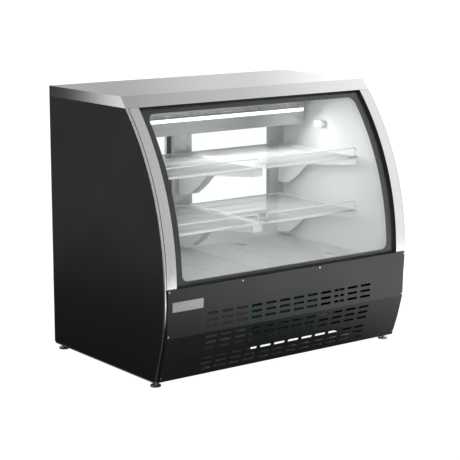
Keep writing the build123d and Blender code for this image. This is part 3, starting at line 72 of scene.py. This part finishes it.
# Sizes in metres of what is made here alone
CURVE_STEPS = 72
SHELF_WIRE_PITCH, SHELF_WIRE_R, SHELF_WIRE_DROP = 0.0125, 0.0011, 0.0012
CROSS_WIRES, CROSS_WIRE_R, CROSS_WIRE_DROP = 4, 0.0020, 0.0044
THIN_SIDES = 6
BORDER_SIDE, BORDER_TOP, BORDER_FOOT = 0.026, 0.020, 0.014
BORDER_CORNER, BORDER_T = 0.028, 0.00004
JOINT_NEAR, JOINT_FAR = 0.0019, 0.0037
JOINT_END, JOINT_FOOT, JOINT_TOP = 0.0003, 0.0015, 0.0004
PLATE_X, PLATE_Z = (-0.572, -0.430), (0.304, 0.342)
PLATE_T, PLATE_BEVEL = 0.0016, 0.0006
SCREW_SIDES = 24
SCREW_RINGS = ((0.0040, 0.0002), (0.0040, 0.0011), (0.0035, 0.0018), (0.0024, 0.0021))
RECESS_R, RECESS_REACH, RECESS_H = 0.0010, 1.9, 0.00155
VANE_HALF, VANE_DEPTH, VANE_T = 0.024, 0.012, 0.0018
VANE_RISE, VANE_BACK, VANE_TILT = 0.0022, 0.0016, 0.35
SENSOR_Y, SENSOR_Z = (0.045, 0.098), (0.862, 0.892)
SENSOR_DEPTH, SENSOR_GAP, SENSOR_EDGE = 0.026, 0.0003, 0.004


# Materials

def material(name, color, rough, metal=0.0, **values):
    """A Principled material and its node tools."""
    mat = bpy.data.materials.new(name)
    mat.use_nodes = True
    nodes, links = mat.node_tree.nodes, mat.node_tree.links
    shader = nodes["Principled BSDF"]
    shader.inputs["Base Color"].default_value = (*color, 1.0)
    shader.inputs["Roughness"].default_value = rough
    shader.inputs["Metallic"].default_value = metal
    for key, value in values.items():
        shader.inputs[key.replace("_", " ")].default_value = value
    return mat, nodes, links, shader


def noise(nodes, links, scale, stretch=(1, 1, 1), detail=3.0):
    """Noise in object space, stretched along an axis."""
    space = nodes.new("ShaderNodeTexCoord")
    mapping = nodes.new("ShaderNodeMapping")
    mapping.inputs["Scale"].default_value = stretch
    texture = nodes.new("ShaderNodeTexNoise")
    texture.inputs["Scale"].default_value = scale
    texture.inputs["Detail"].default_value = detail
    links.new(space.outputs["Object"], mapping.inputs["Vector"])
    links.new(mapping.outputs["Vector"], texture.inputs["Vector"])
    return texture.outputs["Fac"]


def spread(nodes, links, source, low, high):
    """Map the middle of a 0 to 1 value to a narrow range."""
    ranged = nodes.new("ShaderNodeMapRange")
    ranged.inputs["From Min"].default_value = 0.3
    ranged.inputs["From Max"].default_value = 0.7
    ranged.inputs["To Min"].default_value = low
    ranged.inputs["To Max"].default_value = high
    links.new(source, ranged.inputs["Value"])
    return ranged.outputs["Result"]


def tint(nodes, links, source, dark, light):
    """Blend two colours by a value."""
    mix = nodes.new("ShaderNodeMix")
    mix.data_type = "RGBA"
    mix.inputs["A"].default_value = (*dark, 1.0)
    mix.inputs["B"].default_value = (*light, 1.0)
    links.new(source, mix.inputs["Factor"])
    return mix.outputs["Result"]


def bump(nodes, links, shader, source, strength, distance):
    """Small relief from a value."""
    relief = nodes.new("ShaderNodeBump")
    relief.inputs["Strength"].default_value = strength
    relief.inputs["Distance"].default_value = distance
    links.new(source, relief.inputs["Height"])
    links.new(relief.outputs["Normal"], shader.inputs["Normal"])


def painted(name, color, rough, grain=0.05, **values):
    """Powder-coated or painted sheet: fine orange peel and slight wear in the gloss."""
    mat, nodes, links, shader = material(name, color, rough, **values)
    fine = noise(nodes, links, 900.0, detail=2.0)
    broad = noise(nodes, links, 6.0)
    bump(nodes, links, shader, fine, grain, 0.0004)
    links.new(spread(nodes, links, broad, rough * 0.9, rough * 1.12), shader.inputs["Roughness"])
    light = tuple(min(1.0, c * 1.06 + 0.002) for c in color)
    links.new(tint(nodes, links, broad, color, light), shader.inputs["Base Color"])
    return mat


def brushed(name, color, rough, stretch, strength=0.08):
    """Brushed sheet metal, grain along one axis."""
    mat, nodes, links, shader = material(name, color, rough, metal=1.0)
    grain = noise(nodes, links, 260.0, stretch, detail=4.0)
    broad = noise(nodes, links, 5.0)
    bump(nodes, links, shader, grain, strength, 0.0002)
    links.new(spread(nodes, links, grain, rough * 0.85, rough * 1.2), shader.inputs["Roughness"])
    dark = tuple(c * 0.94 for c in color)
    links.new(tint(nodes, links, broad, dark, color), shader.inputs["Base Color"])
    return mat


def galvanised(name, color, rough):
    """Zinc spangle."""
    mat, nodes, links, shader = material(name, color, rough, metal=0.85)
    space = nodes.new("ShaderNodeTexCoord")
    cells = nodes.new("ShaderNodeTexVoronoi")
    cells.inputs["Scale"].default_value = 90.0
    links.new(space.outputs["Object"], cells.inputs["Vector"])
    spangle = cells.outputs["Distance"]
    light = tuple(min(1.0, c * 1.25) for c in color)
    links.new(tint(nodes, links, spangle, color, light), shader.inputs["Base Color"])
    links.new(spread(nodes, links, spangle, rough * 0.8, rough * 1.3), shader.inputs["Roughness"])
    return mat


def pane_glass(name, color):
    """Thin clear glass: light goes straight through, and its front faces mirror at a slant."""
    mat, nodes, links, _ = material(name, color, 0.02, IOR=1.5)
    clear = nodes.new("ShaderNodeBsdfTransparent")
    clear.inputs["Color"].default_value = (*color, 1.0)
    gloss = nodes.new("ShaderNodeBsdfGlossy")
    gloss.inputs["Color"].default_value = (1.0, 1.0, 1.0, 1.0)
    gloss.inputs["Roughness"].default_value = 0.02
    slant = nodes.new("ShaderNodeFresnel")
    slant.inputs["IOR"].default_value = 1.45
    side = nodes.new("ShaderNodeNewGeometry")
    front = nodes.new("ShaderNodeMath")
    front.operation = "SUBTRACT"
    front.inputs[0].default_value = 1.0
    scale = nodes.new("ShaderNodeMath")
    scale.operation = "MULTIPLY"
    scale.use_clamp = True
    mix = nodes.new("ShaderNodeMixShader")
    links.new(side.outputs["Backfacing"], front.inputs[1])
    links.new(slant.outputs["Fac"], scale.inputs[0])
    links.new(front.outputs["Value"], scale.inputs[1])
    links.new(scale.outputs["Value"], mix.inputs["Fac"])
    links.new(clear.outputs["BSDF"], mix.inputs[1])
    links.new(gloss.outputs["BSDF"], mix.inputs[2])
    links.new(mix.outputs["Shader"], nodes["Material Output"].inputs["Surface"])
    return mat


def glowing(name, color, strength):
    """Diffuser lit from behind."""
    mat, _, _, shader = material(name, color, 0.4)
    shader.inputs["Emission Color"].default_value = (*color, 1.0)
    shader.inputs["Emission Strength"].default_value = strength
    return mat


def moulded(name, color, rough):
    """Moulded plastic, rubber or foam with a fine grain."""
    mat, nodes, links, shader = material(name, color, rough)
    bump(nodes, links, shader, noise(nodes, links, 1500.0, detail=2.0), 0.1, 0.0002)
    links.new(spread(nodes, links, noise(nodes, links, 30.0), rough * 0.9, rough * 1.1),
              shader.inputs["Roughness"])
    return mat


def finned(name, color, rough):
    """Fins of slightly uneven colour."""
    mat, nodes, links, shader = material(name, color, rough, metal=0.4)
    uneven = noise(nodes, links, 120.0, (1, 1, 0.2))
    light = tuple(min(1.0, c * 1.5 + 0.01) for c in color)
    links.new(tint(nodes, links, uneven, color, light), shader.inputs["Base Color"])
    return mat


MATERIALS = {
    "dark_paint": painted("dark_paint", (0.014, 0.0145, 0.015), 0.34, 0.06,
                          Specular_IOR_Level=0.27),
    "stainless": brushed("stainless", (0.53, 0.53, 0.535), 0.07, (0.02, 1, 1), 0.05),
    "silver": brushed("silver", (0.67, 0.67, 0.675), 0.22, (1, 1, 0.03), 0.05),
    "bright_edge": brushed("bright_edge", (0.62, 0.62, 0.63), 0.25, (1, 1, 0.05)),
    "white_paint": painted("white_paint", (0.80, 0.80, 0.795), 0.34, 0.03),
    "white_wire": painted("white_wire", (0.93, 0.935, 0.935), 0.3, 0.02),
    "clear_glass": pane_glass("clear_glass", (0.984, 0.992, 0.988)),
    "black_rubber": moulded("black_rubber", (0.012, 0.012, 0.013), 0.55),
    "foam": moulded("foam", (0.80, 0.74, 0.52), 0.8),
    "galvanised": galvanised("galvanised", (0.50, 0.51, 0.52), 0.42),
    "teal_fins": finned("teal_fins", (0.02, 0.16, 0.15), 0.4),
    "bare_fins": finned("bare_fins", (0.55, 0.56, 0.57), 0.35),
    "copper": brushed("copper", (0.62, 0.30, 0.17), 0.3, (1, 1, 1)),
    "black_paint": painted("black_paint", (0.012, 0.012, 0.013), 0.25, 0.03),
    "grey_paint": painted("grey_paint", (0.11, 0.112, 0.115), 0.4, 0.04),
    "zinc": brushed("zinc", (0.62, 0.62, 0.60), 0.3, (1, 1, 1)),
    "diffuser": glowing("diffuser", (0.98, 0.99, 1.0), 1.1),
    "black_plastic": moulded("black_plastic", (0.018, 0.018, 0.019), 0.45),
    "grey_plastic": moulded("grey_plastic", (0.35, 0.355, 0.36), 0.5),
}

INNER_SHEET = brushed("inner_sheet", (0.60, 0.605, 0.61), 0.36, (1, 1, 0.03), 0.04)
COVER_SHEET = brushed("cover_sheet", (0.50, 0.505, 0.51), 0.32, (0.03, 1, 1), 0.04)
CARRIER_PAINT = painted("carrier_paint", (0.88, 0.885, 0.885), 0.32, 0.03)
DECK_PAINT = painted("deck_paint", (0.60, 0.61, 0.615), 0.3, 0.03)
PLATE = brushed("plate", (0.26, 0.26, 0.265), 0.3, (0.05, 1, 1), 0.05)
# Painted light: a lighter copy of the stainless for the sloping header, brighter than the top
# sheet
HEADER_STAINLESS_PAINTED_LIGHT = brushed("header_sheet_painted_light", (0.66, 0.66, 0.665), 0.10, (0.02, 1, 1), 0.05)
# Painted shade: the shelves' fine wires take a darker grey copy of the white wire paint
THIN_WIRE_PAINTED_SHADE = painted("thin_wire_painted_shade", (0.74, 0.745, 0.75), 0.35, 0.02)

# Nodes whose finish differs from the rest of their slot; the header trim's lighter stainless is
# painted light on its sloping face
OWN_LOOKS_AND_PAINTED_LIGHT = {
    "header_trim": HEADER_STAINLESS_PAINTED_LIGHT,
    "evaporator_cover": COVER_SHEET,
    "center_post": INNER_SHEET,
    "corner_posts": INNER_SHEET,
    "center_brackets": CARRIER_PAINT,
    "side_brackets": CARRIER_PAINT,
    "deck_pans": DECK_PAINT,
}


def dress_nodes():
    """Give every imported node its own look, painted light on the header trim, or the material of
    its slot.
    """
    for part in frame["record"]["subparts"]:
        mesh = NODES[part["node"]].data
        mesh.materials.clear()
        mesh.materials.append(OWN_LOOKS_AND_PAINTED_LIGHT.get(part["node"], MATERIALS[part["material_slot"]]))


# New pieces

def place_in_scene(obj):
    """Put an object in the scene."""
    bpy.context.scene.collection.objects.link(obj)
    return obj


def piece(name, bm, slot, smooth=False):
    """Turn a bmesh into a piece of the scene that rides on the case."""
    mesh = bpy.data.meshes.new(name)
    bm.to_mesh(mesh)
    bm.free()
    if smooth:
        mesh.polygons.foreach_set("use_smooth", [True] * len(mesh.polygons))
    obj = place_in_scene(bpy.data.objects.new(name, mesh))
    mesh.materials.append(MATERIALS[slot])
    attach(obj, "case")
    return obj


def add_box(bm, low, high):
    """Add a block between two corners."""
    size = [b - a for a, b in zip(low, high)]
    middle = [(a + b) / 2 for a, b in zip(low, high)]
    place = Matrix.Translation(middle) @ Matrix.Diagonal((*size, 1.0))
    return bmesh.ops.create_cube(bm, size=1.0, matrix=place)["verts"]


def skin(bm, rings, paint=0):
    """Close a row of rings into a solid, in one of the mesh's paints."""
    for first, second in zip(rings, rings[1:]):
        for k in range(len(first)):
            j = (k + 1) % len(first)
            bm.faces.new((first[k], first[j], second[j], second[k])).material_index = paint
    bm.faces.new(list(reversed(rings[0]))).material_index = paint
    bm.faces.new(rings[-1]).material_index = paint


def add_wire(bm, points, radius, sides=8, paint=0):
    """Add a round wire along points, its ends closed."""
    rings = []
    for i, point in enumerate(points):
        before = Vector(points[max(i - 1, 0)])
        after = Vector(points[min(i + 1, len(points) - 1)])
        turn = (after - before).to_track_quat("Z", "Y")
        ring = []
        for k in range(sides):
            angle = 2 * pi * k / sides
            offset = turn @ Vector((radius * cos(angle), radius * sin(angle), 0))
            ring.append(bm.verts.new(Vector(point) + offset))
        rings.append(ring)
    skin(bm, rings, paint)


def shelf_frame_path(left, right, front, back, z):
    """Corner-rounded loop of a shelf's frame bar."""
    r = SHELF_CORNER
    path = []
    for cx, cy, start in ((right - r, front + r, -90), (right - r, back - r, 0),
                          (left + r, back - r, 90), (left + r, front + r, 180)):
        for step in range(5):
            a = radians(start + 22.5 * step)
            path.append((cx + r * cos(a), cy + r * sin(a), z))
    return path + [path[0]]


def wire_shelf(name, node, level):
    """Round-wire shelves, left and right, in place of a level's plain ones."""
    low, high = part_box(node)
    bar_r = SHELF_BAR / 2
    wire_z, cross_z = level - SHELF_WIRE_DROP, level - CROSS_WIRE_DROP
    front, back = low.y + bar_r, high.y - bar_r
    bm = bmesh.new()
    for side in (-1, 1):
        x0, x1 = (side * x for x in SHELF_X)
        left, right = min(x0, x1) + bar_r, max(x0, x1) - bar_r
        add_wire(bm, shelf_frame_path(left, right, front, back, level - bar_r), bar_r)
        count = round((right - left) / SHELF_WIRE_PITCH)
        for i in range(1, count):
            x = left + i * (right - left) / count
            add_wire(bm, [(x, front, wire_z), (x, back, wire_z)], SHELF_WIRE_R, THIN_SIDES, 1)
        for i in range(1, CROSS_WIRES + 1):
            y = front + i * (back - front) / (CROSS_WIRES + 1)
            add_wire(bm, [(left, y, cross_z), (right, y, cross_z)], CROSS_WIRE_R, THIN_SIDES, 1)
    shelf = piece(name, bm, "white_wire", smooth=True)
    # The fine wires take the darker grey copy of the paint, a painted shade
    shelf.data.materials.append(THIN_WIRE_PAINTED_SHADE)
    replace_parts(shelf, node)


def shelf_guards():
    """Round-wire guards with curved corners on every shelf's front bar."""
    low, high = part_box("shelf_guards")
    y = (low.y + high.y) / 2
    x0, x1 = GUARD_X
    bm = bmesh.new()
    for side in (-1, 1):
        for level in SHELF_LEVELS:
            top, foot = level + GUARD_H - GUARD_WIRE_R, level + GUARD_WIRE_R
            path = [(side * x0, y, foot)]
            for cx, start in ((x0 + GUARD_R, 180), (x1 - GUARD_R, 90)):
                for step in range(6):
                    a = radians(start - 18 * step)
                    x, z = cx + GUARD_R * cos(a), top - GUARD_R + GUARD_R * sin(a)
                    path.append((side * x, y, z))
            path.append((side * x1, y, foot))
            add_wire(bm, path, GUARD_WIRE_R)
            add_wire(bm, [(side * x0, y, foot), (side * x1, y, foot)], GUARD_WIRE_R)
    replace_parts(piece("round_guards", bm, "white_wire", smooth=True), "shelf_guards")


def curve_point(radius, z):
    """Y on a curve concentric with the front glass."""
    return CURVE_Y - sqrt(radius ** 2 - (z - CURVE_Z) ** 2)


def curved_sheet(bm, outer, inner, x0, x1, z0, z1):
    """Add a sheet between two radii of the front curve, from one height to another."""
    rows = []
    for i in range(CURVE_STEPS + 1):
        z = z0 + (z1 - z0) * i / CURVE_STEPS
        rows.append([bm.verts.new((x, curve_point(r, z), z)) for r, x in
                     ((outer, x0), (outer, x1), (inner, x1), (inner, x0))])
    skin(bm, rows)
    bmesh.ops.recalc_face_normals(bm, faces=bm.faces)


def smooth_pane(name, node, radius):
    """One pane with a smooth curve and shading."""
    low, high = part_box(node)
    bm = bmesh.new()
    curved_sheet(bm, radius, radius - PANE_T, low.x, high.x, low.z, high.z)
    for face in bm.faces:
        face.smooth = len(face.verts) == 4
    for edge in bm.edges:
        edge.smooth = edge.calc_face_angle(0) < 0.5
    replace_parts(piece(name, bm, "clear_glass"), node)


def glass_border():
    """Black printed border on the inner face of the outer pane, open in the middle."""
    low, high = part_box("glass_outer")
    radius = GLASS_R - PANE_T - BORDER_T
    z0, z1 = low.z + BORDER_FOOT, high.z - BORDER_TOP
    half, inner = high.x, high.x - BORDER_SIDE
    r = BORDER_CORNER
    bm = bmesh.new()

    def vert(x, z):
        """A point on the pane's inner face."""
        return bm.verts.new((x, curve_point(radius, z), z))

    def strip(x0, x1, za, zb):
        """A curved strip between two heights."""
        heights = [za + (zb - za) * i / CURVE_STEPS for i in range(CURVE_STEPS + 1)]
        rows = [(vert(x0, z), vert(x1, z)) for z in heights]
        for (a, b), (c, d) in zip(rows, rows[1:]):
            bm.faces.new((a, b, d, c))

    strip(-half, -inner, low.z, high.z)
    strip(inner, half, low.z, high.z)
    strip(-inner, inner, z1, high.z)
    strip(-inner, inner, low.z, z0)
    for sx in (-1, 1):
        for cz, sz in ((z1 - r, 1), (z0 + r, -1)):
            tip = vert(sx * inner, cz + sz * r)
            angles = [radians(11.25 * step) for step in range(9)]
            arc = [vert(sx * (inner - r + r * cos(a)), cz + sz * r * sin(a)) for a in angles]
            for a, b in zip(arc, arc[1:]):
                bm.faces.new((tip, a, b))
    bmesh.ops.recalc_face_normals(bm, faces=bm.faces)
    bmesh.ops.solidify(bm, geom=bm.faces[:], thickness=BORDER_T)
    piece("glass_border", bm, "black_rubber")


def header_joint():
    """Black seal in the joint between the sloping header and the top sheet."""
    _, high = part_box("header_trim")
    lean = (HEADER_FACE[1] - HEADER_FACE[0]) / (high.z - HEAD_Z)
    x = high.x - JOINT_END
    z0, z1 = HEAD_Z + JOINT_FOOT, high.z - JOINT_TOP
    outline = ((JOINT_NEAR, z0), (JOINT_FAR, z0), (JOINT_FAR, z1), (JOINT_NEAR, z1))
    bm = bmesh.new()
    skin(bm, [[bm.verts.new((side, HEADER_FACE[0] + (z - HEAD_Z) * lean + back, z))
               for back, z in outline] for side in (-x, x)])
    bmesh.ops.recalc_face_normals(bm, faces=bm.faces)
    piece("header_joint", bm, "black_rubber")


def facet_at(z):
    """Y of the front panel's face at a height, and its facet's two ends."""
    for (y0, z0), (y1, z1) in zip(FACETS, FACETS[1:]):
        if z >= z1:
            break
    return y0 + (y1 - y0) * (z0 - z) / (z0 - z1), (y0, z0), (y1, z1)


def blank_plate():
    """Bare metal plate with bevelled edges on the front panel."""
    (x0, x1), (z0, z1) = PLATE_X, PLATE_Z
    half_x, half_z = (x1 - x0) / 2, (z1 - z0) / 2
    middle_z = (z0 + z1) / 2
    y, (upper_y, upper_z), (lower_y, lower_z) = facet_at(middle_z)
    up = Vector((0, upper_y - lower_y, upper_z - lower_z)).normalized()
    out = Vector((0, -up.z, up.y))
    bm = bmesh.new()
    add_box(bm, (-half_x, -half_z, 0), (half_x, half_z, PLATE_T))
    bmesh.ops.bevel(bm, geom=bm.edges[:], offset=PLATE_BEVEL, segments=2, affect="EDGES")
    turn = Matrix((Vector((1, 0, 0)), up, out)).transposed().to_4x4()
    bm.transform(Matrix.Translation(((x0 + x1) / 2, y, middle_z)) @ turn)
    plate = piece("blank_plate", bm, "silver")
    plate.data.materials[0] = PLATE


def round_screws():
    """Pan-head screws with a cross recess in the front panel."""
    bm = bmesh.new()
    angles = [2 * pi * k / SCREW_SIDES for k in range(SCREW_SIDES)]
    rings = [[(r, h)] * SCREW_SIDES for r, h in SCREW_RINGS]
    rings.append([(RECESS_R * (RECESS_REACH if k % 6 == 0 else 1.0), RECESS_H)
                  for k in range(SCREW_SIDES)])
    for x, z in SCREWS:
        y, (y0, z0), (y1, z1) = facet_at(z)
        tilt = atan2(y1 - y0, z0 - z1)
        place = Matrix.Translation((x, y, z)) @ Matrix.Rotation(pi / 2 + tilt, 4, "X")
        skin(bm, [[bm.verts.new(place @ Vector((r * cos(a), r * sin(a), h)))
                   for a, (r, h) in zip(angles, ring)] for ring in rings])
    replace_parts(piece("pan_head_screws", bm, "zinc"), "front_panel_screws")


def outlet_vanes():
    """White vanes behind the outlet slots of the box under the ceiling."""
    low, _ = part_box("evaporator_cover")
    bm = bmesh.new()
    for i in range(OUTLETS):
        x = (i - (OUTLETS - 1) / 2) * OUTLET_PITCH
        for dz in (-VANE_RISE, VANE_RISE):
            verts = add_box(bm, (-VANE_HALF, 0, -VANE_T / 2), (VANE_HALF, VANE_DEPTH, VANE_T / 2))
            spot = Matrix.Translation((x, low.y + VANE_BACK, OUTLET_Z + dz))
            turn = Matrix.Rotation(VANE_TILT, 4, "X")
            bmesh.ops.transform(bm, matrix=spot @ turn, verts=verts)
    piece("outlet_vanes", bm, "white_paint")


def sensor_box():
    """Small white sensor housing on the right inner side sheet, with rounded edges."""
    x = INNER_X - SENSOR_GAP
    bm = bmesh.new()
    add_box(bm, (x - SENSOR_DEPTH, SENSOR_Y[0], SENSOR_Z[0]), (x, SENSOR_Y[1], SENSOR_Z[1]))
    bmesh.ops.bevel(bm, geom=bm.edges[:], offset=SENSOR_EDGE, segments=3, affect="EDGES")
    piece("sensor_box", bm, "white_paint")


dress_nodes()
round_screws()
outlet_vanes()
sensor_box()
wire_shelf("lower_wire_shelves", "lower_shelves", SHELF_LEVELS[0])
wire_shelf("upper_wire_shelves", "upper_shelves", SHELF_LEVELS[1])
shelf_guards()
smooth_pane("outer_pane", "glass_outer", GLASS_R)
smooth_pane("inner_pane", "glass_inner", GLASS_R - PANE_T - SPACER_T)
glass_border()
header_joint()
blank_plate()


# Floor, light and camera

# Brightness that reflections and light take from each side: the direction's X, then the level
SURROUNDINGS = ((-0.66, 0.12), (-0.585, 0.85), (-0.540, 0.85), (-0.512, 0.02), (0.0, 0.14),
                (0.40, 0.24), (0.53, 0.30), (0.60, 0.46), (0.67, 0.82))
LEFT_END, RIGHT_END = 0.1, 1.0
SURROUNDINGS_POWER = 1.7
BACKDROP_POWER = 1.15

FLOOR_HALF = 1.75
FLOOR_AHEAD = (0.6, -0.8, 0.0)
FLOOR_NEAR, FLOOR_FAR, FLOOR_MIRRORED = 0.5, 1.65, 4.0

# Name, place, target, size and power of each light
LIGHTS = (
    ("key", (2.4, -2.6, 2.0), (0.3, 0, 0.5), (2.0, 2.0), 60),
    ("fill", (-2.2, -2.8, 1.4), (0.5, 0.1, 0.8), (1.2, 1.2), 45),
    ("case_light", (0.10, 0.11, 0.915), (0.10, -0.20, 0.45), (0.70, 0.03), 2.0),
    ("deck_light", (0.12, -0.14, 0.95), (0.12, -0.10, 0.36), (0.5, 0.05), 0.6),
)

CAMERA_PLACE = (-3.6677, -4.8789, 1.6789)
CAMERA_YAW, CAMERA_PITCH = 36.912, 11.062
FOCAL_PIXELS, PICTURE_PIXELS = 1521.5, 460
SENSOR_WIDTH = 36.0


def stage_floor():
    """Floor, white to the camera; in reflections it grows brighter to the front right."""
    bm = bmesh.new()
    bmesh.ops.create_grid(bm, x_segments=1, y_segments=1, size=FLOOR_HALF)
    mesh = bpy.data.meshes.new("floor")
    bm.to_mesh(mesh)
    bm.free()
    floor = place_in_scene(bpy.data.objects.new("floor", mesh))
    mat, nodes, links, shader = material("floor", (0.08, 0.08, 0.08), 0.9)
    space = nodes.new("ShaderNodeTexCoord")
    along = nodes.new("ShaderNodeVectorMath")
    along.operation = "DOT_PRODUCT"
    along.inputs[1].default_value = FLOOR_AHEAD
    links.new(space.outputs["Object"], along.inputs[0])
    ahead = nodes.new("ShaderNodeMapRange")
    ahead.inputs["From Min"].default_value = FLOOR_NEAR
    ahead.inputs["From Max"].default_value = FLOOR_FAR
    ahead.inputs["To Max"].default_value = FLOOR_MIRRORED
    links.new(along.outputs["Value"], ahead.inputs["Value"])
    path = nodes.new("ShaderNodeLightPath")
    mirrored = nodes.new("ShaderNodeMath")
    mirrored.operation = "MULTIPLY"
    links.new(path.outputs["Is Glossy Ray"], mirrored.inputs[0])
    links.new(ahead.outputs["Result"], mirrored.inputs[1])
    glow = nodes.new("ShaderNodeMath")
    links.new(path.outputs["Is Camera Ray"], glow.inputs[0])
    links.new(mirrored.outputs["Value"], glow.inputs[1])
    shader.inputs["Emission Color"].default_value = (1.0, 1.0, 1.0, 1.0)
    links.new(glow.outputs["Value"], shader.inputs["Emission Strength"])
    mesh.materials.append(mat)


def surroundings():
    """World: white to the camera, and bands from left to right for light and reflections."""
    world = bpy.data.worlds.new("studio")
    bpy.context.scene.world = world
    world.use_nodes = True
    nodes, links = world.node_tree.nodes, world.node_tree.links
    space = nodes.new("ShaderNodeTexCoord")
    split = nodes.new("ShaderNodeSeparateXYZ")
    across = nodes.new("ShaderNodeMapRange")
    across.inputs["From Min"].default_value = -1.0
    ramp = nodes.new("ShaderNodeValToRGB")
    ramp.color_ramp.interpolation = "EASE"
    stops = ramp.color_ramp.elements
    stops[0].position, stops[1].position = 0.0, 1.0
    for stop, level in zip(stops, (LEFT_END, RIGHT_END)):
        stop.color = (level, level, level, 1.0)
    for x, level in SURROUNDINGS:
        stop = stops.new((x + 1) / 2)
        stop.color = (level, level, level, 1.0)
    back = nodes["Background"]
    back.inputs["Strength"].default_value = SURROUNDINGS_POWER
    links.new(space.outputs["Generated"], split.inputs["Vector"])
    links.new(split.outputs["X"], across.inputs["Value"])
    links.new(across.outputs["Result"], ramp.inputs["Fac"])
    links.new(ramp.outputs["Color"], back.inputs["Color"])
    white = nodes.new("ShaderNodeBackground")
    white.inputs["Color"].default_value = (1.0, 1.0, 1.0, 1.0)
    white.inputs["Strength"].default_value = BACKDROP_POWER
    path = nodes.new("ShaderNodeLightPath")
    mix = nodes.new("ShaderNodeMixShader")
    links.new(path.outputs["Is Camera Ray"], mix.inputs["Fac"])
    links.new(back.outputs["Background"], mix.inputs[1])
    links.new(white.outputs["Background"], mix.inputs[2])
    links.new(mix.outputs["Shader"], nodes["World Output"].inputs["Surface"])


def area_light(name, place, target, size, power):
    """Soft rectangular light aimed at a point, itself unseen."""
    data = bpy.data.lights.new(name, "AREA")
    data.shape = "RECTANGLE"
    data.size, data.size_y = size
    data.energy = power
    light = place_in_scene(bpy.data.objects.new(name, data))
    light.location = place
    aim = Vector(target) - Vector(place)
    light.rotation_euler = aim.to_track_quat("-Z", "Y").to_euler()
    light.visible_glossy = light.visible_camera = False


def camera():
    """The photograph's viewpoint."""
    data = bpy.data.cameras.new("camera")
    data.sensor_width = SENSOR_WIDTH
    data.lens = FOCAL_PIXELS / PICTURE_PIXELS * SENSOR_WIDTH
    data.clip_end = 100.0
    cam = place_in_scene(bpy.data.objects.new("camera", data))
    yaw, pitch = radians(CAMERA_YAW), radians(CAMERA_PITCH)
    look = Vector((sin(yaw) * cos(pitch), cos(yaw) * cos(pitch), -sin(pitch)))
    cam.location = CAMERA_PLACE
    cam.rotation_euler = look.to_track_quat("-Z", "Y").to_euler()
    bpy.context.scene.camera = cam


stage_floor()
surroundings()
for light_row in LIGHTS:
    area_light(*light_row)
camera()
bpy.context.scene.view_settings.view_transform = "Standard"
